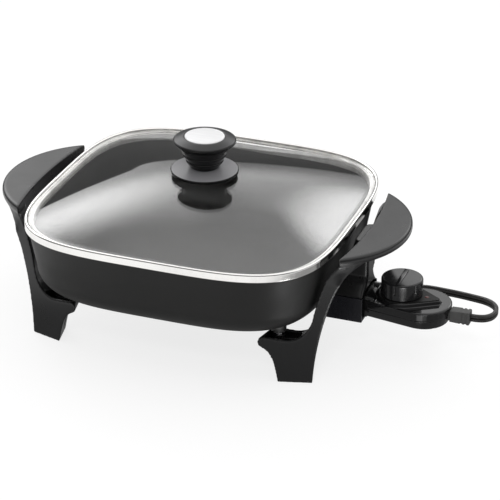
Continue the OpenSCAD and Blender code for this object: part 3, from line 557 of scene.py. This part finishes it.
def make_cord():
    """The cord, the line along its middle and that line's length."""
    line = smooth_line(CORD_ROUTE) + coil_line() + smooth_line(TAIL_ROUTE)
    line = [Vector((PAN_X, 0, 0)) + p for p in line]
    section = cord_section()
    rings = []
    for i, p in enumerate(line):
        along = (line[min(i + 1, len(line) - 1)] - line[max(i - 1, 0)]).normalized()
        across = Vector((0, 0, 1)).cross(along).normalized()
        up = along.cross(across)
        rings.append([p + across * a + up * u for a, u in section])
    bm = bmesh.new()
    skin(bm, rings)
    cord = from_bmesh("heater_cord", bm)
    finished(cord, "control", CORD_JACKET, "cord_jacket", "cord", "cord_coil")
    long = sum((b - a).length for a, b in zip(line, line[1:]))
    return cord, line, long


CORD, CORD_LINE, CORD_LENGTH = make_cord()


def make_tie():
    """Strap over the two layers of the coil, on its left side."""
    x = PAN_X + COIL_CENTRE[0] - COIL_RADIUS
    gap, thick, shoulder, corner = 0.0002, 0.0012, 0.001, 0.0012
    half_wide, half_flat = 0.005, 0.0046
    inner = CORD_THICK / 2 + gap
    top = 2 * CORD_WIDTH
    outer = [(-inner - thick, 0), (-inner - thick, top - shoulder), (-inner, top + thick),
             (inner, top + thick), (inner + thick, top - shoulder), (inner + thick, 0)]
    inside = [(inner, 0), (inner, top - corner), (inner - corner, top),
              (-inner + corner, top), (-inner, top - corner), (-inner, 0)]
    bm = bmesh.new()
    rings = [[Vector((x + a, COIL_CENTRE[1] + y, z)) for a, z in outer + inside]
             for y in (-half_wide, -half_flat, half_flat, half_wide)]
    skin(bm, rings)
    tie = from_bmesh("coil_tie", bm, sharp_deg=40)
    bevel = tie.modifiers.new("bevel", "BEVEL")
    bevel.width, bevel.segments, bevel.limit_method = 0.0003, 2, "ANGLE"
    return finished(applied(tie), "control", TIE_BLACK, "tie_black", "cord_tie")


def rounded_slab(x, y, z, half_y, half_z, radius, count=7):
    """Rounded rectangle across X at x, in metres."""
    ring = []
    for k, (sy, sz) in enumerate(((1, 1), (-1, 1), (-1, -1), (1, -1))):
        for i in range(count):
            t = math.pi / 2 * (k + i / (count - 1))
            ring.append(Vector((x, y + sy * (half_y - radius) + radius * math.cos(t),
                                z + sz * (half_z - radius) + radius * math.sin(t))))
    return ring


def make_relief():
    """Strain relief: flares outward, with shallow ribs near its end."""
    corner = 1.1 * MM
    low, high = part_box("strain_relief")
    z = (low.z + high.z) / 2
    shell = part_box("control_top")[1].x
    # each place along X, with half the width and half the height there in millimetres
    sections = [(low.x, 6.9, 5.9), (shell - 0.003, 6.9, 5.9), (shell - 0.0028, 5.1, 4.6),
                (shell - 0.0002, 5.1, 4.6), (shell + 0.0001, 5.5, 5.6),
                (high.x - 0.0088, 5.4, 6.05), (high.x - 0.0082, 4.9, 5.6),
                (high.x - 0.0070, 4.9, 5.65), (high.x - 0.0064, 5.35, 6.15),
                (high.x - 0.0048, 5.3, 6.2), (high.x - 0.0042, 4.85, 5.75),
                (high.x - 0.0030, 4.85, 5.8), (high.x - 0.0024, 5.25, 6.3),
                (high.x - 0.0006, 5.2, 6.35), (high.x, 4.7, 5.9)]
    bm = bmesh.new()
    skin(bm, [rounded_slab(x, 0, z, hy * MM, hz * MM, corner) for x, hy, hz in sections])
    relief = from_bmesh("cord_strain_relief", bm, sharp_deg=45)
    return finished(relief, "control", RELIEF_GREY, "relief_grey", "strain_relief")


def make_plug():
    """Moulded two-blade plug with a grip that swells towards its face."""
    low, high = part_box("plug_body")
    y, z = (low.y + high.y) / 2, (low.z + high.z) / 2
    length = high.x - low.x
    corner_share, corner_points = 0.6, 9
    # shares of the length, with half the width and half the height there in millimetres
    sections = [(0, 3.6, 3.6), (0.02, 4.4, 4.2), (0.1, 4.6, 4.4), (0.13, 4.1, 3.9),
                (0.17, 4.1, 3.9), (0.2, 4.9, 4.7), (0.27, 5.2, 4.9), (0.3, 4.6, 4.4),
                (0.34, 4.6, 4.4), (0.37, 6.0, 5.4), (0.46, 9.0, 6.8), (0.55, 10.7, 7.7),
                (0.7, 10.9, 7.7), (0.9, 11.4, 7.9), (0.975, 11.3, 7.8), (1.0, 10.7, 7.2)]
    bm = bmesh.new()
    skin(bm, [rounded_slab(low.x + s * length, y, z, hy * MM, hz * MM,
                           min(hy, hz) * corner_share * MM, corner_points)
              for s, hy, hz in sections])
    plug = from_bmesh("mains_plug", bm, sharp_deg=50)
    return finished(plug, "control", PLUG_BLACK, "plug_black", "plug_body")


COIL_TIE = make_tie()
RELIEF = make_relief()
PLUG = make_plug()

# ------------------------------------------------------------------ pan


def make_pan():
    """Cast pan: rolled outer base corner, drafted wall, rounded lip, coved inside."""
    hx = (PAN_HIGH.x - PAN_LOW.x) / 2 / MM
    dy = hx - (PAN_HIGH.y - PAN_LOW.y) / 2 / MM
    top = PAN_HIGH.z / MM
    under, edge_r, wall, floor_t = 53.0, 25.0, 3.0, 4.5
    base_hx, lip_drop, lip_flat = 113.0, 0.9, 0.25
    corner_steps, lip_steps, cove_less, even_hx = 16, 8, 0.5, 60
    floor_shares, wall_shares = (0.02, 0.3, 0.6, 0.85, 0.96), (0.2, 0.5, 0.8, 0.97)
    waist_hx = base_hx + edge_r
    inner_r = edge_r - wall - cove_less
    inner_hx = waist_hx - wall - inner_r
    floor = under + floor_t

    def ring(half, z):
        """The pan's outline, which is less deep than wide from half width even_hx on."""
        return squircle(half, half - dy * min(half / even_hx, 1), z)

    rings = [ring(base_hx * s, under) for s in floor_shares]
    for i in range(corner_steps + 1):
        t = math.pi / 2 * i / corner_steps
        rings.append(ring(base_hx + edge_r * math.sin(t), under + edge_r * (1 - math.cos(t))))
    for s in wall_shares:
        rings.append(ring(waist_hx + (hx - waist_hx) * s,
                          under + edge_r + (top - lip_drop - under - edge_r) * s))
    lip_r = wall / 2 - lip_flat
    for i in range(lip_steps + 1):
        t = math.pi * i / lip_steps
        rings.append(ring(hx - wall / 2 + (wall / 2) * math.cos(t),
                          top - lip_r + lip_r * math.sin(t)))
    for s in reversed(wall_shares):
        rings.append(ring(waist_hx - wall + (hx - waist_hx) * s,
                          floor + inner_r + (top - lip_drop - floor - inner_r) * s))
    for i in range(corner_steps, -1, -1):
        t = math.pi / 2 * i / corner_steps
        rings.append(ring(inner_hx + inner_r * math.sin(t),
                          floor + inner_r * (1 - math.cos(t))))
    rings += [ring(inner_hx * s, floor) for s in reversed(floor_shares)]
    bm = bmesh.new()
    skin(bm, rings)
    return bm


def rounded_path(half, corner, steps=10):
    """Pan-centred square path with round corners, in millimetres, as (x, y, nx, ny)."""
    points = []
    for k in range(4):
        for i in range(steps + 1):
            t = math.pi / 2 * (k + i / steps)
            cx = (half - corner) * (1 if k in (0, 3) else -1)
            cy = (half - corner) * (1 if k < 2 else -1)
            points.append((cx + corner * math.cos(t), cy + corner * math.sin(t),
                           math.cos(t), math.sin(t)))
    return points


def add_ridge(bm):
    """Cast ridge that holds the element, with softened edges."""
    half_w, base, low, soft = 6.5, 54.0, 47.5, 1.2
    half, corner = 80, 40
    side = [(half_w - soft, low), (half_w, low + soft), (half_w + 0.4, base - 2.2),
            (half_w + 2.5, base)]
    section = [(-a, z) for a, z in reversed(side)] + side
    path = rounded_path(half, corner)
    rings = [[pan_point(x + nx * a, y + ny * a, z) for a, z in section]
             for x, y, nx, ny in path]
    skin(bm, rings, along_closed=True)


def add_boss(bm):
    """Block that the terminals and the probe pass through, without their bores."""
    x0, x1, hy, z0, z1 = 96, 122, 17.5, 42.5, 56
    corner, corner_steps, inset = 2.5, 5, 0.6
    profile = rounded([(-hy, z1), (-hy, z0), (hy, z0), (hy, z1)], corner, corner_steps)
    skin(bm, [[pan_point(x, y, z) for y, z in profile]
              for x in (x0, x0 + inset, x1 - inset, x1)])


def make_pan_piece():
    """Pan, element ridge and terminal block as the one casting that they are."""
    bm = make_pan()
    add_ridge(bm)
    add_boss(bm)
    pan = from_bmesh("pan_casting", bm, sharp_deg=50)
    return finished(pan, "base", COATED, "pan_coating", "pan")


def make_post_bosses():
    """Bare cast bosses under the pan, which the leg posts screw into."""
    out_x, out_y = 103, 83.5
    profile = [(0, 45.5), (6.4, 45.5), (7, 46.1), (7, 52), (8.6, 54)]
    steps = 40
    bm = bmesh.new()
    for sx in (-1, 1):
        for sy in (-1, 1):
            turned(bm, profile, pan_point(out_x * sx, out_y * sy, 0), steps)
    bosses = from_bmesh("post_bosses", bm, sharp_deg=50)
    return finished(bosses, "base", CAST_METAL, "pan_coating")


make_pan_piece()
make_post_bosses()

# ------------------------------------------------------------------ lid

# how far the bead's inner lip lies below its top, in millimetres
BEAD_DROP = 0.8


def lid_ring(inset, z):
    """The lid rim's outline moved inwards, at a height, both in millimetres."""
    hx = (RIM_HIGH.x - RIM_LOW.x) / 2 / MM
    hy = (RIM_HIGH.y - RIM_LOW.y) / 2 / MM
    return squircle(hx - inset, hy - inset, z)


def ring_skin(name, profile, material, *nodes):
    """A closed (inset, height) profile carried once around the lid."""
    bm = bmesh.new()
    skin(bm, [lid_ring(inset, z) for inset, z in profile], along_closed=True)
    piece = from_bmesh(name, bm, sharp_deg=60)
    return finished(piece, "lid", material, "rim_steel", *nodes)


def make_rim():
    """Polished outer face and rolled bead, and the satin channel and skirt inside it."""
    top, skirt_low = RIM_HIGH.z / MM, RIM_LOW.z / MM
    under, steel, skirt = 116.3, 0.7, 6.8
    lip = top - BEAD_DROP
    bead = [(0, top - 1.7), (0.05, top - 1.2), (0.2, top - 0.8), (0.45, top - 0.42),
            (0.75, top - 0.17), (1.1, top - 0.04), (1.5, top), (1.9, top - 0.05),
            (2.25, top - 0.2), (2.5, top - 0.4), (2.7, top - 0.7), (2.8, lip - 0.15),
            (2.8, lip - steel + 0.15), (2.6, lip - steel)]
    outer = [(0.7, under), (0.3, under + 0.05), (0.1, under + 0.2), (0, under + 0.4),
             (0, under + 0.6), (0, top - 1.9)] + bead
    outer += [(1.5, lip - steel), (1.5, under + 0.6), (0.7, under + 0.6)]
    ring_skin("polished_steel_rim", outer, RIM_STEEL, "lid_rim")
    seat = lip - steel - 4.2
    inner = [(1.45, lip - steel - 0.1), (1.4, seat), (skirt + steel, seat),
             (skirt + steel, skirt_low + 0.3), (skirt + steel / 2, skirt_low),
             (skirt, skirt_low + 0.3), (skirt, under - 0.3), (skirt - 0.3, under),
             (0.8, under), (0.8, under + 0.5)]
    ring_skin("satin_rim_channel", inner, RIM_INSIDE)


def make_glass():
    """Dome of even thickness with a flat seat and a hole under the knob."""
    crown = GLASS_HIGH.z / MM
    # the glass sits just under the steel of the bead's lip
    lip_depth = 0.8
    edge = RIM_HIGH.z / MM - BEAD_DROP - lip_depth
    thick, hole, seat, inner = 4.0, 4.0, 0.08, 7.5
    hx = (RIM_HIGH.x - RIM_LOW.x) / 2 / MM
    dy = hx - (RIM_HIGH.y - RIM_LOW.y) / 2 / MM
    rise = crown - edge
    steps = 44

    def dome(share, z):
        """An outline that is nearly round at the knob and square at the rim."""
        half = share * (hx - inner)
        return squircle(half, half - share * dy, z, 2 + (CORNER_POWER - 2) * share ** 1.5)

    def height(share):
        """The dome's top, from its seat at the knob out to its edge."""
        return edge + rise * (1 - share * share) / (1 - seat * seat)

    shares = [seat + (1 - seat) * i / steps for i in range(steps + 1)]
    first = hole / (hx - inner)
    under = [dome(first, crown - thick)] + [dome(s, height(s) - thick) for s in shares]
    over = [dome(s, height(s)) for s in reversed(shares)] + [dome(first, crown)]
    edge_rings = [lid_ring(2.3, edge - thick), lid_ring(1.8, edge - thick + 0.2),
                  lid_ring(1.6, edge - thick + 0.7), lid_ring(1.6, edge - 0.7),
                  lid_ring(1.8, edge - 0.2), lid_ring(2.3, edge)]
    bm = bmesh.new()
    skin(bm, under + edge_rings + over, along_closed=True)
    glass = from_bmesh("domed_glass", bm, sharp_deg=60)
    return finished(glass, "lid", GLASS, "lid_glass", "lid_glass")


def make_collar(centre):
    """Shallow cone with a rolled black edge, hollow below."""
    low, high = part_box("knob_collar")
    foot, top = low.z / MM, high.z / MM
    radius = (high.x - low.x) / 2 / MM
    edge = foot + 0.9
    corner, steps = 0.35, 160
    bm = bmesh.new()
    turned(bm, rounded([
        (3, foot), (13, foot), (13.6, foot + 2.6), (radius - 3, edge + 0.4),
        (radius - 1.4, edge - 0.1), (radius - 0.3, edge), (radius, edge + 0.5),
        (radius, edge + 1.9), (radius - 0.8, edge + 2.5), (15, top - 0.1),
        (13.6, top), (3, top)], corner), centre, steps)
    finished(from_bmesh("knob_flared_collar", bm, sharp_deg=50), "lid", COLLAR_BLACK_PAINTED_SHEEN,
             "knob_black", "knob_collar")


def make_grip(centre, badge):
    """Stepped neck that widens upwards to a coned top with a recess for the badge."""
    low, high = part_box("knob_grip")
    base, top = low.z / MM, high.z / MM
    radius = (high.x - low.x) / 2 / MM
    rim = top - 4.2
    # the turned steps of the neck: radius, and height above its foot
    neck = [(12.8, 0), (13.6, 0.6), (15.3, 3.2), (16.8, 5.2), (17.5, 6.3), (17.5, 6.9),
            (17.0, 7.5), (18.4, 9.6), (19.8, 11.7), (20.5, 12.8), (20.5, 13.4),
            (20.0, 14.0), (21.2, 16.4), (22.0, 18.2), (22.5, 19.2), (22.5, 19.8),
            (22.1, 20.4)]
    corner, steps = 0.5, 160
    bm = bmesh.new()
    turned(bm, rounded(
        [(3.5, base)] + [(r, base + h) for r, h in neck]
        + [(24.2, rim - 3.4), (radius - 2, rim - 1.8), (radius - 0.3, rim - 1.1),
           (radius, rim - 0.4), (radius, rim + 0.7), (radius - 0.9, rim + 1.5),
           (badge + 2.0, top - 0.15), (badge + 0.8, top), (badge + 0.15, top - 0.3),
           (badge + 0.15, top - 1.2), (0.2, top - 1.2)], corner), centre, steps)
    finished(from_bmesh("knob_turned_grip", bm, sharp_deg=50), "lid", KNOB_BLACK_PAINTED_SHEEN,
             "knob_black", "knob_grip")
    return top


def make_badge(centre, badge, top):
    """Plain domed disc with a fine turned line near its edge."""
    corner, steps = 0.2, 128
    bm = bmesh.new()
    turned(bm, rounded([
        (0.2, top - 1.2), (badge, top - 1.2), (badge, top - 0.2),
        (badge - 0.4, top + 0.25), (badge - 1.2, top + 0.2), (badge - 1.5, top + 0.1),
        (badge - 1.9, top + 0.25), (badge * 0.5, top + 0.5), (0.2, top + 0.6)],
        corner), centre, steps)
    finished(from_bmesh("knob_plain_badge", bm, sharp_deg=60), "lid", BADGE, "badge",
             "knob_badge")


def make_knob():
    """Collar, grip and badge on the lid's middle."""
    centre = pan_point(0, 0, 0)
    low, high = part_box("knob_badge")
    badge = (high.x - low.x) / 2 / MM
    make_collar(centre)
    make_badge(centre, badge, make_grip(centre, badge))


make_rim()
make_glass()
make_knob()

# ------------------------------------------------------------------ handles and shells

# piece, CAD node, voxel in millimetres, smoothing passes, body, material and slot
MOULDINGS = [
    ("handle_left", "handle_leg_left", 0.8, 16, "base", PHENOLIC, "phenolic"),
    ("handle_right", "handle_leg_right", 0.8, 16, "base", PHENOLIC, "phenolic"),
    ("terminal_guard", "plug_guard", 0.5, 4, "base", GUARD_BLACK, "phenolic"),
    ("control_upper_shell", "control_top", 0.4, 16, "control", GLOSS_BLACK, "control_black"),
    ("control_lower_shell", "control_base", 0.4, 16, "control", GLOSS_BLACK, "control_black")]

for name, node, voxel, passes, body, material, slot in MOULDINGS:
    finished(moulded(name, node, voxel, passes), body, material, slot, node)

# ------------------------------------------------------------------ dial


def press_flutes(bm, centre, radius, low, high):
    """Six short finger grooves in the dial's side."""
    pitch, first, half_turn, depth = 60, 24.6, 3.6, 1.0
    side_depth, low_end, high_end = 0.7, 1.5, 0.8
    for vert in bm.verts:
        out = Vector((vert.co.x - centre.x, vert.co.y - centre.y, 0))
        height = vert.co.z / MM
        if out.length / MM < radius - side_depth or not low < height < high:
            continue
        turn = math.degrees(math.atan2(out.y, out.x))
        away = abs((turn - first + pitch / 2) % pitch - pitch / 2)
        if away < half_turn:
            ends = min(1, (height - low) / low_end, (high - height) / high_end)
            press = depth * ends * math.cos(math.pi / 2 * away / half_turn)
            vert.co -= out.normalized() * press * MM


def add_bar(bm, centre, radius, top, rise):
    """Raised grip bar across the dial, with softened edges and sloping ends."""
    half_w, half_long = 2.1, radius - 2.6
    end = [(half_long - 2.5, half_w, rise), (half_long - 0.8, half_w - 0.5, 0.9),
           (half_long, 0.3, 0.2)]
    sections = [(-y, w, h) for y, w, h in reversed(end)] + [(0, half_w, rise)] + end
    rings = []
    for y, w, h in sections:
        edge = min(0.5, w * 0.5)
        cut = edge * 0.3
        profile = [(-w - 0.3, -0.5), (-w, 0), (-w + cut, h - cut), (-w + edge, h),
                   (w - edge, h), (w - cut, h - cut), (w, 0), (w + 0.3, -0.5)]
        rings.append([centre + Vector((a * MM, y * MM, (top + z) * MM))
                      for a, z in profile])
    skin(bm, rings)


def make_dial():
    """Dial with a raised grip bar across it and short finger grooves in its side."""
    low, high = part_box("dial_knob")
    centre = Vector(((low.x + high.x) / 2, (low.y + high.y) / 2, 0))
    radius = (high.x - low.x) / 2 / MM
    foot = low.z / MM
    bar_rise, corner, steps = 1.2, 0.4, 360
    top = high.z / MM - bar_rise
    bm = bmesh.new()
    below = rounded([(3, foot), (radius - 0.5, foot), (radius, foot + 0.5),
                     (radius, foot + 1.5)], corner)
    # rings half a millimetre apart, fine enough for the grooves
    side = [(radius, foot + 2 + 0.5 * i) for i in range(int(2 * (top - foot - 4)))]
    above = rounded([(radius, top - 2), (radius, top - 1.5), (radius - 0.5, top - 0.5),
                     (radius - 1.5, top), (0.2, top)], corner)
    turned(bm, below + side + above, centre, steps)
    press_flutes(bm, centre, radius, foot + 5, top - 1)
    add_bar(bm, centre, radius, top, bar_rise)
    dial = from_bmesh("temperature_dial", bm, sharp_deg=45)
    return finished(dial, "dial", DIAL_GREY, "dial_grey", "dial_knob")


make_dial()

# ------------------------------------------------------------------ CAD nodes that stay

KEPT = {
    "heating_element": ELEMENT, "terminal_pins": PLATED, "terminal_bushes": CERAMIC,
    "leg_posts": POST_METAL, "leg_screws": SCREW_STEEL, "leg_washers": SCREW_STEEL,
    "guard_screws": SCREW_STEEL, "knob_insert": BRASS, "knob_screw": SCREW_STEEL,
    "knob_washer": PLATED, "knob_gasket": SILICONE, "dial_plate": PLATE_GREY,
    "pilot_lens": LENS_RED, "pilot_lamp": LAMP_GLASS, "probe_tube": PROBE_STEEL,
    "contact_sleeves": BRASS, "contact_block": BLOCK_BROWN, "thermostat_frame": PLATED,
    "bimetal_blade": BIMETAL, "contact_arms": BRASS, "calibration_screw": BRASS,
    "cam_follower": CERAMIC, "housing_screws": SCREW_STEEL, "inner_leads": SLEEVING,
    "dial_shaft": PLATED, "dial_clip": SCREW_STEEL, "plug_blades": BRASS}

# edges of a CAD mesh that bend more than this stay crisp
CAD_SHARP = math.radians(30)

for node, look in KEPT.items():
    mesh = NODES[node].data
    mesh.materials.clear()
    mesh.materials.append(look)
    mesh.polygons.foreach_set("use_smooth", [True] * len(mesh.polygons))
    mesh.set_sharp_from_angle(angle=CAD_SHARP)

# ------------------------------------------------------------------ stage and light


def grey(level):
    """A colour without a hue."""
    return (level, level, level, 1)


# glow of the mirrored floor near the object, to which the cards fade at their edges
NEAR_GLOW = 0.22


def stage_plane(name, x0, x1, y0, y1, z, albedo, glow):
    """A flat dull plane with a white glow of its own."""
    bm = bmesh.new()
    bm.faces.new([bm.verts.new(p) for p in
                  ((x0, y0, z), (x1, y0, z), (x1, y1, z), (x0, y1, z))])
    plane = from_bmesh(name, bm, smooth=False)
    material = bpy.data.materials.new(name)
    material.use_nodes = True
    shader = material.node_tree.nodes["Principled BSDF"]
    shader.inputs["Base Color"].default_value = grey(albedo)
    shader.inputs["Roughness"].default_value = 0.9
    shader.inputs["Specular IOR Level"].default_value = 0.0
    shader.inputs["Emission Color"].default_value = grey(1)
    shader.inputs["Emission Strength"].default_value = glow
    plane.data.materials.append(material)
    return plane


def reflections_only(plane):
    """Hides a plane from everything but mirror-like reflections."""
    plane.visible_camera = False
    plane.visible_diffuse = False
    plane.visible_transmission = False


def glow_by_distance(plane, scale, ends, shift=(0, 0, 0), **values):
    """Lets a plane's glow follow the distance from its middle, scaled and shifted."""
    node_tree = plane.data.materials[0].node_tree
    tree = Tree(node_tree)
    place = tree.add("ShaderNodeTexCoord").outputs["Object"]
    away = tree.add("ShaderNodeVectorMath", operation="LENGTH")
    tree.wire(tree.stretched(place, scale, shift), away.inputs[0])
    glow = tree.ranged(away.outputs["Value"], *ends, **values)
    tree.wire(glow, node_tree.nodes["Principled BSDF"].inputs["Emission Strength"])


def add_stage():
    """White floor, and a copy of it that only reflections see, dim near the object."""
    floor = stage_plane("floor", -6, 6, -6, 6, -0.0002, 0.21, 0.80)
    floor.visible_glossy = False
    table = stage_plane("mirrored_floor", -0.9, 0.9, -1.4, 0.9, -0.0006, 0.1, 1.0)
    reflections_only(table)
    glow_by_distance(table, (2.8, 3.0, 1), (0.86, 1.06, NEAR_GLOW, 1.02),
                     shift=(-0.196, 0.03, 0))


# the cards are turned to face the camera's bearing
CARD_TURN = math.radians(20.9)


def add_card(name, centre, size, glow):
    """Small bright card that lies before the object and shows only in reflections."""
    half_x, half_y = size[0] / 2, size[1] / 2
    card = stage_plane(name, -half_x, half_x, -half_y, half_y, 0.0, 0.1, glow)
    glow_by_distance(card, (1 / half_x, 1 / half_y, 1), (1.0, 0.0, NEAR_GLOW, glow),
                     interpolation_type="SMOOTHSTEP")
    card.location = centre
    card.rotation_euler = (0, 0, CARD_TURN)
    reflections_only(card)


class Sky(Tree):
    """World light worked out from the direction that a ray leaves the object in."""

    def __init__(self, tree):
        super().__init__(tree)
        self.direction = self.add("ShaderNodeTexCoord").outputs["Generated"]
        split = self.add("ShaderNodeSeparateXYZ")
        self.wire(self.direction, split.inputs["Vector"])
        self.axis = split.outputs

    def feed(self, value, socket):
        """Links an output to a socket, or sets the socket to a number or vector."""
        if isinstance(value, bpy.types.NodeSocket):
            self.wire(value, socket)
        else:
            socket.default_value = value

    def worked(self, operation, *values):
        """A sum on single numbers."""
        node = self.add("ShaderNodeMath", operation=operation)
        for socket, value in zip(node.inputs, values):
            self.feed(value, socket)
        return node.outputs["Value"]

    def faded(self, value, low, high, to_low=0.0, to_high=1.0):
        """A value mapped from one range to another along an S-shaped curve."""
        return self.ranged(value, low, high, to_low, to_high,
                           interpolation_type="SMOOTHSTEP")

    def ramp(self, value, stops):
        """Grey levels at (place, level) stops, with straight lines between."""
        node = self.add("ShaderNodeValToRGB")
        elements = node.color_ramp.elements
        while len(elements) < len(stops):
            elements.new(0.5)
        for element, (place, level) in zip(elements, stops):
            element.position = place
            element.color = grey(level)
        self.wire(value, node.inputs["Fac"])
        return node.outputs["Color"]

    def mixed(self, factor, a, b):
        """Light a where the factor is 0 and light b where it is 1."""
        node = self.add("ShaderNodeMix", data_type="RGBA")
        for name, value in (("Factor", factor), ("A", a), ("B", b)):
            self.feed(value, node.inputs[name])
        return node.outputs["Result"]

    def lamp(self, bearing, height, core, reach, level):
        """Brightness of a round soft lamp seen from the object, with angles in degrees."""
        b, h = math.radians(bearing), math.radians(height)
        near = self.add("ShaderNodeVectorMath", operation="DOT_PRODUCT")
        near.inputs[1].default_value = (math.sin(b) * math.cos(h),
                                        math.cos(b) * math.cos(h), math.sin(h))
        self.wire(self.direction, near.inputs[0])
        angle = self.worked("ARCCOSINE", near.outputs["Value"])
        return self.faded(angle, math.radians(reach), math.radians(core), 0, level)


WORLD_STRENGTH = 2.6
DARK_LEVEL = 0.045


def studio_light(sky):
    """A low band that is brighter to the left, a high band, and two lamps."""
    up = sky.axis["Z"]
    bearing = sky.worked("ARCTAN2", sky.axis["X"], sky.axis["Y"])
    # bearings from 90 degrees left of +Y to 90 degrees right of it, as 0 to 1
    turn = sky.worked("MULTIPLY_ADD", bearing, 1 / math.pi, 0.5)
    low_band = sky.ramp(turn, [(0.0, 0.5), (0.2, 0.62), (0.29, 0.62), (0.355, 0.30),
                               (0.41, 0.17), (0.45, 0.2), (0.52, 0.32), (0.7, 0.4),
                               (1.0, 0.4)])
    high_band = sky.ramp(up, [(0.0, 0.5), (0.45, 0.60), (0.6, 0.44), (0.8, 0.44),
                              (1.0, 0.5)])
    bands = sky.mixed(sky.faded(up, 0.27, 0.44), low_band, high_band)
    left_lamp = sky.lamp(bearing=-42, height=34, core=1, reach=21, level=1.25)
    back_lamp = sky.lamp(bearing=4.5, height=31, core=0, reach=11, level=1.25)
    summed = sky.add("ShaderNodeVectorMath", operation="ADD")
    sky.wire(bands, summed.inputs[0])
    sky.wire(sky.worked("ADD", left_lamp, back_lamp), summed.inputs[1])
    # the room behind the camera is dim, apart from what is overhead
    behind = sky.faded(sky.axis["Y"], -0.3, 0.1, 0.16, 1.0)
    overhead = sky.faded(up, 0.5, 0.9)
    dimmed = sky.add("ShaderNodeVectorMath", operation="SCALE")
    sky.wire(summed.outputs["Vector"], dimmed.inputs[0])
    sky.wire(sky.worked("MAXIMUM", behind, overhead), dimmed.inputs["Scale"])
    return dimmed.outputs["Vector"]


def add_world():
    """Studio light above a sharp edge at 15 degrees, dark below, and white to the camera."""
    world = bpy.data.worlds.new("studio")
    bpy.context.scene.world = world
    world.use_nodes = True
    sky = Sky(world.node_tree)
    edge = sky.ramp(sky.axis["Z"], [(0.0, 0.0), (0.257, 0.0), (0.264, 1.0), (1.0, 1.0)])
    light = sky.mixed(edge, grey(DARK_LEVEL), studio_light(sky))
    to_camera = sky.add("ShaderNodeLightPath").outputs["Is Camera Ray"]
    background = world.node_tree.nodes["Background"]
    sky.wire(sky.mixed(to_camera, light, grey(1 / WORLD_STRENGTH)),
             background.inputs["Color"])
    background.inputs["Strength"].default_value = WORLD_STRENGTH


def add_softbox(name, place, target, width, height, power):
    """Rectangular lamp aimed at a target, which mirror-like reflections don't show."""
    data = bpy.data.lights.new(name, "AREA")
    data.shape = "RECTANGLE"
    data.size, data.size_y = width, height
    data.energy = power
    lamp = bpy.data.objects.new(name, data)
    lamp.location = place
    lamp.rotation_mode = "QUATERNION"
    lamp.rotation_quaternion = (Vector(target) - Vector(place)).to_track_quat("-Z", "Y")
    lamp.visible_glossy = False
    bpy.context.scene.collection.objects.link(lamp)


add_stage()
add_card("dial_card", (0.236, -0.170, -0.0004), (0.13, 0.11), glow=16.0)
add_card("control_card", (0.209, -0.105, -0.0003), (0.07, 0.12), glow=2.6)
add_world()
add_softbox("key", (0.5, -2.2, 2.2), (0, 0, 0.1), width=0.6, height=0.45, power=16)
bpy.context.scene.view_settings.view_transform = "Standard"
bpy.context.scene.cycles.use_denoising = True
